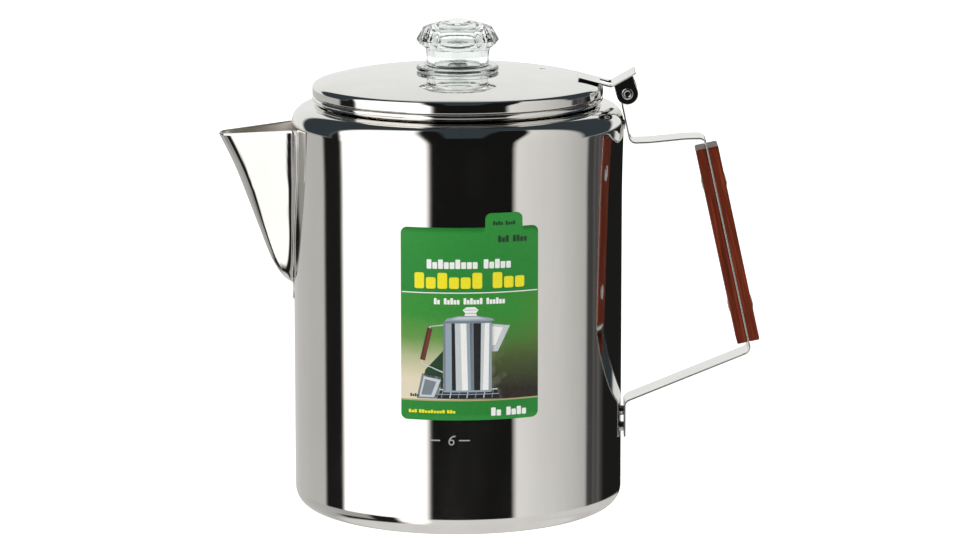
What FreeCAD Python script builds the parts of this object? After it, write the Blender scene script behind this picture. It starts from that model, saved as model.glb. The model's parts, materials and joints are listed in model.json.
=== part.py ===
"""Stainless camping percolator: pot, hinged lid with a glass knob, and the pump and basket inside.

Millimetres. The origin is on the pot's axis at the flat base, +Z is up, the handle is on +X and the
spout on -X. Sheet-metal parts are drawn from their centre lines.
"""
import FreeCAD
import Part

import math
import os

from FreeCAD import Vector

# Pot
POT_RADIUS = 80.0
POT_SHEET = 0.6
BASE_CORNER = 8.6
STRAIGHT_WALL_TOP = 160.0
SHOULDER_RADIUS = 80.9
SHOULDER_EDGE = 195.4
SHOULDER_CORNER = 9.0
NECK_BASE = 198.4
NECK_INNER_RADIUS = 67.2
NECK_CORNER = 1.0
BEAD_DIAMETER = 3.3
BEAD_TOP = 202.0
CURL_GAP = 0.7

# Strainer holes in the wall behind the spout
STRAINER_HOLE_RADIUS = 1.7
STRAINER_PITCH = 7.5
STRAINER_BOTTOM = 122.0
STRAINER_TOP = 178.0

# Spout: height, distance of the ridge from the axis, half width of the V at the root plane
SPOUT_SHEET = 0.7
SPOUT_NOSE_RADIUS = 3.0
SPOUT_SECTIONS = [
    (104.0, 78.0, 4.0),
    (114.6, 86.3, 5.6),
    (121.6, 90.0, 7.2),
    (136.2, 96.2, 11.2),
    (150.7, 102.2, 15.4),
    (167.0, 108.5, 19.1),
    (183.0, 116.3, 21.1),
    (190.0, 120.4, 21.8),
]
SPOUT_ROOT = 70.0
SPOUT_LOFT_OVERRUN = 4.0
SPOUT_LIP_AT_WALL = 186.5
SPOUT_LIP_AT_TIP = 183.0
SPOUT_REACH = 116.3
FLANGE_OUTLINE = [(100.7, 0.0), (125.0, 8.5), (144.0, 15.0), (162.5, 21.0), (188.0, 24.3)]

# Handle; each weld is a height and the distance its nugget reaches from the pot's axis
STRAP_SHEET = 0.9
STRAP_WIDTH = 19.0
HINGE_X = 82.0
HINGE_Z = 203.5
PIN_RADIUS = 2.0
PIN_CLEARANCE = 0.05
STRAP_BEND = 3.4
EYE_LEG_END = 198.6
EYE_LEG_BEND = 16.0
ARM_START = (83.7, 179.0)
ARM_POINTS = [(93.5, 179.4, 60.0), (110.0, 181.1, 60.0)]
GRIP_TOP = (119.7, 181.4)
GRIP_BOTTOM = (143.0, 76.1)
STRAP_FOOT_X = 81.7
STRAP_FOOT_BEND_Z = 50.9
STRAP_FOOT_END_Z = 33.4
WELD_RADIUS = 2.5
LOWER_WELDS = [(37.0, 81.7), (45.0, 81.7)]
UPPER_WELD = (187.0, 81.7)
GRIP_LENGTH = 98.0
GRIP_THICKNESS = 5.1
GRIP_WIDTH = 18.5
GRIP_EDGE = 0.7
RIVET_OFFSET = 31.0
RIVET_RADIUS = 2.2
RIVET_HEAD_RADIUS = 4.2
RIVET_HEAD_HEIGHT = 1.2
RIVET_SINK_DEPTH = 0.6

# Label on the front of the pot
LABEL_THICKNESS = 0.15
LABEL_BOTTOM = 57.4
LABEL_TOP = 149.9
LABEL_LEFT = -26.4
LABEL_RIGHT = 38.4
LABEL_CORNER = 3.0
TAB_LEFT = 13.5
TAB_RIGHT = 31.0
TAB_TOP = 156.7

# Lid
LID_SHEET = 0.6
LID_RADIUS = 70.5
LID_BOTTOM = 202.25
LID_APEX = 213.4
DOME_DROP = 5.7
DOME_RADIUS = 69.0
DOME_POWER = 4
DOME_POINTS = 12
RIM_CORNER = 2.6
VENT_X = 41.0
VENT_Y = 12.0
VENT_RADIUS = 1.25
PLUG_RADIUS = 66.0
PLUG_BOTTOM = 194.0
PLUG_BEND = 1.2
PLUG_TURN_IN = 2.4
KNOB_HOLE_RADIUS = 13.75
NOTCH_RADIUS = 17.2
NOTCH_WIDTH = 9.6

# Hinge clip on the lid
CLIP_SHEET = 0.8
CLIP_WIDTH = 23.5
LEAF_START_X = 58.2
LEAF_TANGENT_X = 64.0
VALLEY_X = 74.3
VALLEY_BEND = 1.6
TAB_END = (85.9, 213.5)
EAR_RADIUS = 5.3
EAR_INNER_X = 75.3
EAR_OUTER_X = 84.2
SLOT_START_X = 69.0
SLOT_END_X = 74.6
SLOT_WIDTH = 10.0
PIN_BORE_RADIUS = 1.3
PIN_HEAD_RADIUS = 2.8
PIN_HEAD_HEIGHT = 0.7
PIN_HEAD_EDGE = 0.5

# Glass knob: height and corner radius of each twelve-sided ring
KNOB_SIDES = 12
KNOB_RINGS = [(224.4, 15.6), (226.4, 18.5), (228.7, 20.4), (234.8, 17.0), (239.0, 2.0)]
KNOB_NECK_RADIUS = 15.2
KNOB_FLANGE_RADIUS = 20.0
KNOB_FLANGE_TOP = 215.9
KNOB_SEAT_GAP = 0.25
KNOB_SHANK_RADIUS = 13.4
KNOB_SHANK_BOTTOM = 209.6
KNOB_CAVITY_RADIUS = 11.3
KNOB_CAVITY_TOP = 234.0
KNOB_CAVITY_CORNER = 5.0
LUG_RADIUS = 16.6
LUG_WIDTH = 8.0
LUG_TOP = 212.2

# Pump
TUBE_RADIUS = 4.75
TUBE_WALL = 0.5
TUBE_BOTTOM = 6.0
TUBE_TOP = 217.0
FOOT_SHEET = 0.8
FOOT_RADIUS = 38.0
FOOT_BOTTOM = 0.9
FOOT_TOP = 17.0
FOOT_BENDS = [(4.0, 2.0), (10.5, 12.0), (12.0, 2.0)]
FOOT_DOME_RADIUS = 16.0
FOOT_NOTCH_RADIUS = 2.5
FOOT_NOTCH_START = 28.0
FOOT_NOTCHES = 6
STOP_RADIUS = 9.0
STOP_HEIGHT = 5.0
STOP_BEND = 1.2
STOP_SHEET = 0.8

# Basket and spreader
BASKET_RADIUS = 50.0
BASKET_SHEET = 0.5
BASKET_BOTTOM = 118.0
BASKET_TOP = 181.0
BASKET_CORNER = 2.0
BASKET_BEAD = 0.9
BASKET_CURL_GAP = 0.15
SLEEVE_CLEARANCE = 0.4
SLEEVE_TOP = 176.0
COVER_SKIRT = 3.0
COVER_CLEARANCE = 0.5
COVER_EDGE_BEND = 1.5
COVER_STEP_RADII = (46.0, 44.0)
COVER_STEP_BEND = 3.0
COVER_DISH = 1.5
COVER_COLLAR_BEND = 1.2
COVER_COLLAR_TOP = 4.0
STACK_GAP = 0.3
BASKET_HOLE_RADIUS = 1.3
BASKET_HOLE_RINGS = [(15.0, 12), (23.0, 18), (31.0, 24), (39.0, 30)]
COVER_HOLE_RADIUS = 1.6
COVER_HOLE_RINGS = [(14.0, 9), (23.0, 15), (32.0, 21), (41.0, 27)]

UP = Vector(0, 0, 1)
ALONG_X = Vector(1, 0, 0)
ALONG_Y = Vector(0, 1, 0)
HINGE = Vector(HINGE_X, 0, HINGE_Z)


def closed_wire(points, place):
    """Closed wire through points (a, b) or (a, b, corner radius); place(a, b) gives the 3-D point."""
    spans = []
    count = len(points)
    for index, point in enumerate(points):
        here = place(point[0], point[1])
        if len(point) < 3 or not point[2]:
            spans.append((here, None, here))
            continue
        after_point = points[(index + 1) % count]
        back = (place(points[index - 1][0], points[index - 1][1]) - here).normalize()
        ahead = (place(after_point[0], after_point[1]) - here).normalize()
        half_angle = back.getAngle(ahead) / 2
        reach = point[2] / math.tan(half_angle)
        inward = (back + ahead).normalize()
        middle = here + inward * (point[2] / math.sin(half_angle) - point[2])
        spans.append((here + back * reach, middle, here + ahead * reach))
    edges = []
    for index, (start, middle, end) in enumerate(spans):
        previous_end = spans[index - 1][2]
        if previous_end.distanceToPoint(start) > 1e-4:
            edges.append(Part.LineSegment(previous_end, start).toShape())
        if middle is not None:
            edges.append(Part.Arc(start, middle, end).toShape())
    return Part.Wire(Part.__sortEdges__(edges))


def side_wire(points):
    """Closed wire in the XZ plane."""
    return closed_wire(points, lambda x, z: Vector(x, 0, z))


def revolved(points):
    """Solid of revolution about the pot's axis from an outline of (radius, height) points."""
    return Part.Face(side_wire(points)).revolve(Vector(0, 0, 0), UP, 360)


def extruded(points, width, centre_y=0.0):
    """Plate of the given width along Y from an outline in the XZ plane."""
    face = Part.Face(side_wire(points))
    face.translate(Vector(0, centre_y - width / 2, 0))
    return face.extrude(Vector(0, width, 0))


def sheet_outline(centre_line, thickness):
    """Outline of a bent sheet from its centre line of (x, z, bend radius) points."""
    half = thickness / 2
    left = []
    right = []
    last = len(centre_line) - 1
    for index, point in enumerate(centre_line):
        here = Vector(point[0], point[1], 0)
        bend = point[2] if len(point) > 2 else 0
        near = centre_line[max(index - 1, 0)]
        far = centre_line[min(index + 1, last)]
        arriving = here - Vector(near[0], near[1], 0)
        leaving = Vector(far[0], far[1], 0) - here
        arriving = leaving if index == 0 else arriving
        leaving = arriving if index == last else leaving
        normal_in = Vector(-arriving.y, arriving.x, 0).normalize()
        normal_out = Vector(-leaving.y, leaving.x, 0).normalize()
        offset = (normal_in + normal_out) * (half / (1 + normal_in.dot(normal_out)))
        turn = math.copysign(1, arriving.cross(leaving).z)
        left_bend = max(bend - turn * half, 0) if bend else 0
        right_bend = max(bend + turn * half, 0) if bend else 0
        left.append((here.x + offset.x, here.y + offset.y, left_bend))
        right.append((here.x - offset.x, here.y - offset.y, right_bend))
    return left + right[::-1]


def rod(start, direction, radius, length):
    """Cylinder from a start point along a direction."""
    return Part.makeCylinder(radius, length, start, direction)


def hole_ring(radius, count, hole_radius, low, high):
    """Vertical cylinders evenly spaced on a circle about the pot's axis."""
    tools = []
    for index in range(count):
        angle = 2 * math.pi * index / count
        start = Vector(radius * math.cos(angle), radius * math.sin(angle), low)
        tools.append(rod(start, UP, hole_radius, high - low))
    return tools


def pot_centre_line():
    """Centre line of the pot's sheet, from the middle of the base to the curled end of the rim."""
    half = POT_SHEET / 2
    curl = BEAD_DIAMETER / 2 - half
    neck = NECK_INNER_RADIUS + half
    bead_high = BEAD_TOP - half
    bead_low = bead_high - 2 * curl
    return [
        (0, half),
        (POT_RADIUS - half, half, BASE_CORNER - half),
        (POT_RADIUS - half, STRAIGHT_WALL_TOP),
        (SHOULDER_RADIUS - half, SHOULDER_EDGE - half, SHOULDER_CORNER - half),
        (neck, NECK_BASE - half, NECK_CORNER),
        (neck, bead_high, curl),
        (neck + 2 * curl, bead_high, curl),
        (neck + 2 * curl, bead_low, curl),
        (neck + half + CURL_GAP, bead_low),
    ]


def pot_envelope(grow):
    """Solid block with the pot's outer surface, grown outwards by the given amount."""
    return revolved([
        (0, -grow),
        (POT_RADIUS + grow, -grow, BASE_CORNER + grow),
        (POT_RADIUS + grow, STRAIGHT_WALL_TOP),
        (SHOULDER_RADIUS + grow, SHOULDER_EDGE + grow, SHOULDER_CORNER + grow),
        (NECK_INNER_RADIUS, NECK_BASE + grow),
        (0, NECK_BASE + grow),
    ])


def channel_half_width(height):
    """Half width of the spout's channel at the wall, at a height."""
    for (low, near, narrow), (high, far, wide) in zip(SPOUT_SECTIONS, SPOUT_SECTIONS[1:]):
        if low <= height <= high:
            share = (height - low) / (high - low)
            ridge = near + (far - near) * share
            root_width = narrow + (wide - narrow) * share
            return root_width * (ridge - POT_RADIUS) / (ridge - SPOUT_ROOT)
    return 0


def make_pot_shell():
    """Drawn body with rounded shoulder, rolled rim and the strainer holes behind the spout."""
    shell = revolved(sheet_outline(pot_centre_line(), POT_SHEET))
    tools = []
    rows = int((STRAINER_TOP - STRAINER_BOTTOM) / STRAINER_PITCH) + 1
    for row in range(rows):
        height = STRAINER_BOTTOM + row * STRAINER_PITCH
        reach = channel_half_width(height) - 2 * STRAINER_HOLE_RADIUS
        shift = STRAINER_PITCH / 2 * (row % 2)
        for column in range(-3, 4):
            across = column * STRAINER_PITCH + shift
            if abs(across) <= max(reach, 0):
                start = Vector(-1.1 * POT_RADIUS, across, height)
                tools.append(rod(start, ALONG_X, STRAINER_HOLE_RADIUS, POT_RADIUS / 2))
    return shell.cut(tools)


def spout_wire(height, ridge, half_width, inset):
    """Rounded V section of the spout at a height, moved inwards by the inset."""
    nose = min(SPOUT_NOSE_RADIUS, 0.4 * half_width)
    apex = ridge
    for _ in range(8):
        half_angle = math.atan2(half_width, apex - SPOUT_ROOT)
        apex = ridge + nose * (1 / math.sin(half_angle) - 1)
    apex -= inset / math.sin(half_angle)
    half = half_width - inset / math.cos(half_angle)
    nose = max(nose - inset, 0.2)
    points = [(-SPOUT_ROOT, half), (-apex, 0, nose), (-SPOUT_ROOT, -half)]
    return closed_wire(points, lambda x, y: Vector(x, y, height))


def spout_block(inset, overrun):
    """Solid block inside the spout's surface, running on past its two ends by the overrun."""
    wires = []
    for index, (height, ridge, half) in enumerate(SPOUT_SECTIONS):
        beyond = {0: -overrun, len(SPOUT_SECTIONS) - 1: overrun}.get(index, 0)
        wires.append(spout_wire(height + beyond, ridge + beyond / 2, half, inset))
    return Part.makeLoft(wires, True, False)


def make_spout():
    """Pressed V-shaped spout with a welding flange that lies on the pot's wall."""
    inner = spout_block(SPOUT_SHEET, SPOUT_LOFT_OVERRUN)
    channel = spout_block(0, 0.0).cut(pot_envelope(0)).cut(inner)
    half_outline = [(width, height) for height, width in FLANGE_OUTLINE]
    mirrored = [(-width, height) for width, height in half_outline[:0:-1]]
    outline = closed_wire(half_outline + mirrored, lambda y, z: Vector(-POT_RADIUS / 2, y, z))
    patch = Part.Face(outline).extrude(Vector(-POT_RADIUS, 0, 0))
    flange = pot_envelope(SPOUT_SHEET).cut(pot_envelope(0)).common(patch).cut(inner)
    slope = (SPOUT_LIP_AT_WALL - SPOUT_LIP_AT_TIP) / (SPOUT_REACH - POT_RADIUS)
    near = POT_RADIUS / 2
    far = 2 * SPOUT_REACH
    above = extruded([
        (-near, SPOUT_LIP_AT_WALL + (POT_RADIUS - near) * slope),
        (-near, 2 * SPOUT_LIP_AT_WALL),
        (-far, 2 * SPOUT_LIP_AT_WALL),
        (-far, SPOUT_LIP_AT_WALL - (far - POT_RADIUS) * slope),
    ], 2 * POT_RADIUS)
    return channel.fuse(flange).cut(above).removeSplitter()


def grip_frame():
    """Middle of the grip run, its unit direction downwards and its unit outward normal."""
    top = Vector(GRIP_TOP[0], 0, GRIP_TOP[1])
    bottom = Vector(GRIP_BOTTOM[0], 0, GRIP_BOTTOM[1])
    direction = (bottom - top).normalize()
    outward = Vector(-direction.z, 0, direction.x)
    return (top + bottom) / 2, direction, outward


def make_handle_strap():
    """Bent strap: curled hinge eye, shoulder contact, arm, grip run, lower arm and foot tab."""
    half = STRAP_SHEET / 2
    eye = PIN_RADIUS + PIN_CLEARANCE + half
    centre_line = [
        (HINGE_X - eye + half + CURL_GAP, HINGE_Z - eye),
        (HINGE_X + eye, HINGE_Z - eye, eye),
        (HINGE_X + eye, HINGE_Z + eye, eye),
        (HINGE_X - eye, HINGE_Z + eye, eye),
        (HINGE_X - eye, EYE_LEG_END, EYE_LEG_BEND),
        (*ARM_START, STRAP_BEND),
        *ARM_POINTS,
        (*GRIP_TOP, STRAP_BEND),
        (*GRIP_BOTTOM, STRAP_BEND),
        (STRAP_FOOT_X, STRAP_FOOT_BEND_Z, STRAP_BEND),
        (STRAP_FOOT_X, STRAP_FOOT_END_Z),
    ]
    strap = extruded(sheet_outline(centre_line, STRAP_SHEET), STRAP_WIDTH)
    inside_wall = POT_RADIUS - WELD_RADIUS
    for height, end_x in [*LOWER_WELDS, UPPER_WELD]:
        weld = rod(Vector(inside_wall, 0, height), ALONG_X, WELD_RADIUS, end_x - inside_wall)
        strap = strap.fuse(weld.cut(pot_envelope(0)))
    _, _, outward = grip_frame()
    for rivet in rivet_centres():
        strap = strap.cut(rod(rivet - outward * STRAP_SHEET, outward, RIVET_RADIUS, 2 * STRAP_SHEET))
    return strap.removeSplitter()


def rivet_centres():
    """Upper and lower rivet positions on the strap's centre line."""
    middle, direction, _ = grip_frame()
    return [middle - direction * RIVET_OFFSET, middle + direction * RIVET_OFFSET]


def make_grip(side):
    """Wood slab on one face of the strap; side is +1 for the outer slab and -1 for the inner."""
    middle, direction, outward = grip_frame()
    slab = Part.makeBox(GRIP_THICKNESS, GRIP_WIDTH, GRIP_LENGTH)
    slab = slab.makeFillet(GRIP_EDGE, slab.Edges)
    slab.translate(Vector(-GRIP_THICKNESS / 2, -GRIP_WIDTH / 2, -GRIP_LENGTH / 2))
    slab.rotate(Vector(0, 0, 0), ALONG_Y, math.degrees(math.atan2(-outward.z, outward.x)))
    offset = STRAP_SHEET / 2 + GRIP_THICKNESS / 2
    slab.translate(middle + outward * (offset * side))
    for rivet in rivet_centres():
        face = rivet + outward * (side * (STRAP_SHEET / 2 + GRIP_THICKNESS))
        through = 2 * GRIP_THICKNESS
        slab = slab.cut(rod(rivet - outward * through, outward, RIVET_RADIUS, 2 * through))
        sink_floor = face - outward * (side * RIVET_SINK_DEPTH)
        slab = slab.cut(rod(sink_floor, outward * side, RIVET_HEAD_RADIUS, GRIP_THICKNESS))
    return slab


def make_rivet(centre):
    """Rivet through both slabs and the strap, with a low domed head at each end."""
    _, _, outward = grip_frame()
    reach = STRAP_SHEET / 2 + GRIP_THICKNESS - RIVET_SINK_DEPTH
    height = RIVET_HEAD_HEIGHT
    dome_radius = (RIVET_HEAD_RADIUS ** 2 + height ** 2) / (2 * height)
    rivet = rod(centre - outward * reach, outward, RIVET_RADIUS, 2 * reach)
    for side in (-1, 1):
        dome_centre = centre + outward * (side * (reach + height - dome_radius))
        disc = rod(centre + outward * (side * reach), outward * side, RIVET_HEAD_RADIUS, height)
        rivet = rivet.fuse(disc.common(Part.makeSphere(dome_radius, dome_centre)))
    return rivet.removeSplitter()


def make_label():
    """Thin label round the front of the wall, with rounded corners and a lift tab on its top edge."""
    outline = extruded([
        (LABEL_LEFT, LABEL_BOTTOM, LABEL_CORNER),
        (LABEL_RIGHT, LABEL_BOTTOM, LABEL_CORNER),
        (LABEL_RIGHT, LABEL_TOP, LABEL_CORNER),
        (TAB_RIGHT, LABEL_TOP),
        (TAB_RIGHT, TAB_TOP, LABEL_CORNER),
        (TAB_LEFT, TAB_TOP, LABEL_CORNER),
        (TAB_LEFT, LABEL_TOP),
        (LABEL_LEFT, LABEL_TOP, LABEL_CORNER),
    ], 2 * POT_RADIUS, -POT_RADIUS)
    outer = rod(Vector(0, 0, 0), UP, POT_RADIUS + LABEL_THICKNESS, 2 * LABEL_TOP)
    inner = rod(Vector(0, 0, 0), UP, POT_RADIUS, 2 * LABEL_TOP)
    return outer.cut(inner).common(outline)


def dome_height(radius):
    """Height of the lid's outer surface at a radius."""
    return LID_APEX - DOME_DROP * (radius / DOME_RADIUS) ** DOME_POWER


def dome_slope(radius):
    """Slope of the lid's outer surface at a radius."""
    return -DOME_DROP * DOME_POWER * radius ** (DOME_POWER - 1) / DOME_RADIUS ** DOME_POWER


def lid_block(inset, bottom):
    """Solid block inside the lid's surface, moved inwards by the sheet thickness or by nothing."""
    rim = LID_RADIUS - inset
    corner = RIM_CORNER - inset
    tilt = math.atan(-dome_slope(LID_RADIUS - RIM_CORNER))
    join = rim - corner * (1 - math.sin(tilt))
    points = []
    for index in range(DOME_POINTS + 1):
        radius = join * index / DOME_POINTS
        points.append(Vector(radius, 0, dome_height(radius) - inset))
    dome = Part.BSplineCurve()
    dome.interpolate(points)
    centre = Vector(rim - corner, 0, points[-1].z - corner * math.cos(tilt))
    bisector = (math.pi / 2 - tilt) / 2
    middle = centre + Vector(corner * math.cos(bisector), 0, corner * math.sin(bisector))
    rim_top = Vector(rim, 0, centre.z)
    rim_end = Vector(rim, 0, bottom)
    axis_low = Vector(0, 0, bottom)
    wire = Part.Wire([
        dome.toShape(),
        Part.Arc(points[-1], middle, rim_top).toShape(),
        Part.LineSegment(rim_top, rim_end).toShape(),
        Part.LineSegment(rim_end, axis_low).toShape(),
        Part.LineSegment(axis_low, points[0]).toShape(),
    ])
    return Part.Face(wire).revolve(Vector(0, 0, 0), UP, 360)


def make_lid_shell():
    """Domed lid with a keyed centre hole for the knob and a steam vent."""
    lid = lid_block(0, LID_BOTTOM).cut(lid_block(LID_SHEET, LID_BOTTOM - RIM_CORNER))
    depth = 2 * (LID_APEX - LID_BOTTOM)
    key_corner = Vector(-NOTCH_WIDTH / 2, -NOTCH_RADIUS, LID_BOTTOM)
    key = Part.makeBox(NOTCH_WIDTH, 2 * NOTCH_RADIUS, depth, key_corner)
    hole = rod(Vector(0, 0, LID_BOTTOM), UP, KNOB_HOLE_RADIUS, depth).fuse(key)
    vent = rod(Vector(VENT_X, VENT_Y, LID_BOTTOM), UP, VENT_RADIUS, depth)
    return lid.cut([hole, vent])


def make_lid_plug_ring():
    """Ring under the lid: a flange inside the rim and a skirt that plugs the pot's neck."""
    half = LID_SHEET / 2
    centre_line = [
        (LID_RADIUS - LID_SHEET, LID_BOTTOM + half),
        (PLUG_RADIUS - half, LID_BOTTOM + half, PLUG_BEND),
        (PLUG_RADIUS - half, PLUG_BOTTOM + PLUG_BEND, PLUG_BEND),
        (PLUG_RADIUS - PLUG_TURN_IN, PLUG_BOTTOM),
    ]
    return revolved(sheet_outline(centre_line, LID_SHEET))


def tangent_point(point, side):
    """Where the line from a point touches the ear's round end; side picks one of the two."""
    away = point - HINGE
    lean = math.acos(EAR_RADIUS / away.Length) * side
    angle = math.atan2(away.z, away.x) + lean
    return (HINGE_X + EAR_RADIUS * math.cos(angle), HINGE_Z + EAR_RADIUS * math.sin(angle))


def make_hinge_clip():
    """Stamped clip: a leaf welded on the dome, a valley bend, the thumb tab and two ears."""
    slope = dome_slope(LEAF_TANGENT_X)
    lift = CLIP_SHEET / 2 * math.sqrt(1 + slope * slope)
    tangent_z = dome_height(LEAF_TANGENT_X) + lift
    valley_z = tangent_z + slope * (VALLEY_X - LEAF_TANGENT_X)
    centre_line = [
        (LEAF_START_X, tangent_z + slope * (LEAF_START_X - LEAF_TANGENT_X)),
        (VALLEY_X, valley_z, VALLEY_BEND),
        TAB_END,
    ]
    clip = extruded(sheet_outline(centre_line, CLIP_SHEET), CLIP_WIDTH)
    rise = (TAB_END[1] - valley_z) / (TAB_END[0] - VALLEY_X)
    inner = Vector(EAR_INNER_X, 0, valley_z + rise * (EAR_INNER_X - VALLEY_X))
    outer = Vector(EAR_OUTER_X, 0, valley_z + rise * (EAR_OUTER_X - VALLEY_X))
    plate = [(inner.x, inner.z), (outer.x, outer.z), tangent_point(outer, -1), tangent_point(inner, 1)]
    for side in (-1, 1):
        centre_y = side * (CLIP_WIDTH - CLIP_SHEET) / 2
        disc = rod(HINGE + Vector(0, centre_y - CLIP_SHEET / 2, 0), ALONG_Y, EAR_RADIUS, CLIP_SHEET)
        clip = clip.fuse(extruded(plate, CLIP_SHEET, centre_y).fuse(disc))
    slot_corner = Vector(SLOT_START_X, -SLOT_WIDTH / 2, LID_BOTTOM)
    slot = Part.makeBox(SLOT_END_X - SLOT_START_X, SLOT_WIDTH, LID_APEX - LID_BOTTOM, slot_corner)
    bore = rod(HINGE - Vector(0, CLIP_WIDTH, 0), ALONG_Y, PIN_RADIUS, 2 * CLIP_WIDTH)
    return clip.cut([slot, bore]).removeSplitter()


def make_hinge_pin():
    """Tubular pin, rolled over outside each ear."""
    half_length = CLIP_WIDTH / 2
    pin = rod(HINGE - Vector(0, half_length, 0), ALONG_Y, PIN_RADIUS, 2 * half_length)
    for side in (-1, 1):
        head = rod(HINGE + Vector(0, side * half_length, 0), ALONG_Y * side, PIN_HEAD_RADIUS, PIN_HEAD_HEIGHT)
        rims = [edge for edge in head.Edges if edge.BoundBox.YLength < PIN_CLEARANCE]
        outermost = max(rims, key=lambda edge: abs(edge.BoundBox.YMin))
        pin = pin.fuse(head.makeFillet(PIN_HEAD_EDGE, [outermost]))
    bore = rod(HINGE - Vector(0, CLIP_WIDTH, 0), ALONG_Y, PIN_BORE_RADIUS, 2 * CLIP_WIDTH)
    return pin.cut(bore).removeSplitter()


def polygon_wire(height, radius):
    """Regular polygon about the pot's axis, with a flat towards the front."""
    corners = []
    for index in range(KNOB_SIDES):
        angle = 2 * math.pi * (index + 0.5) / KNOB_SIDES
        corners.append(Vector(radius * math.cos(angle), radius * math.sin(angle), height))
    return Part.makePolygon(corners + corners[:1])


def make_glass_knob():
    """Hollow faceted knob on a round flange, with a shank and two bayonet lugs under the lid."""
    head = Part.makeLoft([polygon_wire(height, radius) for height, radius in KNOB_RINGS], True, True)
    flange_bottom = LID_APEX + KNOB_SEAT_GAP
    body = revolved([
        (0, KNOB_SHANK_BOTTOM),
        (KNOB_SHANK_RADIUS, KNOB_SHANK_BOTTOM),
        (KNOB_SHANK_RADIUS, flange_bottom),
        (KNOB_FLANGE_RADIUS, flange_bottom),
        (KNOB_FLANGE_RADIUS, KNOB_FLANGE_TOP),
        (KNOB_NECK_RADIUS, KNOB_FLANGE_TOP),
        (KNOB_NECK_RADIUS, KNOB_RINGS[0][0]),
        (0, KNOB_RINGS[0][0]),
    ])
    lug_height = LUG_TOP - KNOB_SHANK_BOTTOM
    corner = Vector(-LUG_RADIUS, -LUG_WIDTH / 2, KNOB_SHANK_BOTTOM)
    lug_bar = Part.makeBox(2 * LUG_RADIUS, LUG_WIDTH, lug_height, corner)
    lugs = lug_bar.common(rod(Vector(0, 0, KNOB_SHANK_BOTTOM), UP, LUG_RADIUS, lug_height))
    cavity = revolved([
        (0, KNOB_SHANK_BOTTOM - 1),
        (KNOB_CAVITY_RADIUS, KNOB_SHANK_BOTTOM - 1),
        (KNOB_CAVITY_RADIUS, KNOB_CAVITY_TOP, KNOB_CAVITY_CORNER),
        (0, KNOB_CAVITY_TOP),
    ])
    return head.fuse([body, lugs]).cut(cavity).removeSplitter()


def make_pump_tube():
    """Riser tube from the foot to the hollow of the knob."""
    half = TUBE_WALL / 2
    centre_line = [(TUBE_RADIUS - half, TUBE_BOTTOM), (TUBE_RADIUS - half, TUBE_TOP)]
    return revolved(sheet_outline(centre_line, TUBE_WALL))


def make_pump_foot():
    """Bell that stands on the pot's floor, with water notches in its rim."""
    half = FOOT_SHEET / 2
    centre_line = [
        (FOOT_RADIUS - half, FOOT_BOTTOM),
        (FOOT_RADIUS - half, *FOOT_BENDS[0]),
        (FOOT_DOME_RADIUS, *FOOT_BENDS[1]),
        (TUBE_RADIUS + half, *FOOT_BENDS[2]),
        (TUBE_RADIUS + half, FOOT_TOP),
    ]
    foot = revolved(sheet_outline(centre_line, FOOT_SHEET))
    notches = []
    for index in range(FOOT_NOTCHES):
        angle = 2 * math.pi * (index + 0.5) / FOOT_NOTCHES
        outward = Vector(math.cos(angle), math.sin(angle), 0)
        start = outward * FOOT_NOTCH_START + UP * FOOT_BOTTOM
        notches.append(rod(start, outward, FOOT_NOTCH_RADIUS, FOOT_RADIUS))
    return foot.cut(notches)


def make_basket_stop():
    """Pressed collar on the tube that carries the basket."""
    half = STOP_SHEET / 2
    top = BASKET_BOTTOM - STACK_GAP - half
    centre_line = [
        (STOP_RADIUS, top),
        (TUBE_RADIUS + half, top, STOP_BEND),
        (TUBE_RADIUS + half, top - STOP_HEIGHT),
    ]
    return revolved(sheet_outline(centre_line, STOP_SHEET))


def make_basket_shell():
    """Basket with a perforated bottom and a rolled rim."""
    half = BASKET_SHEET / 2
    hole = TUBE_RADIUS + SLEEVE_CLEARANCE + BASKET_SHEET
    outside = BASKET_RADIUS - half
    wall = outside - 2 * BASKET_BEAD
    bead_high = BASKET_TOP - half
    bead_low = bead_high - 2 * BASKET_BEAD
    centre_line = [
        (hole, BASKET_BOTTOM + half),
        (wall, BASKET_BOTTOM + half, BASKET_CORNER),
        (wall, bead_high, BASKET_BEAD),
        (outside, bead_high, BASKET_BEAD),
        (outside, bead_low, BASKET_BEAD),
        (wall + BASKET_SHEET + BASKET_CURL_GAP, bead_low),
    ]
    basket = revolved(sheet_outline(centre_line, BASKET_SHEET))
    tools = []
    for radius, count in BASKET_HOLE_RINGS:
        low = BASKET_BOTTOM - BASKET_SHEET
        tools += hole_ring(radius, count, BASKET_HOLE_RADIUS, low, low + 3 * BASKET_SHEET)
    return basket.cut(tools)


def make_basket_sleeve():
    """Tube in the middle of the basket that slides on the pump tube."""
    half = BASKET_SHEET / 2
    radius = TUBE_RADIUS + SLEEVE_CLEARANCE + half
    centre_line = [(radius, BASKET_BOTTOM), (radius, SLEEVE_TOP)]
    return revolved(sheet_outline(centre_line, BASKET_SHEET))


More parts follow.
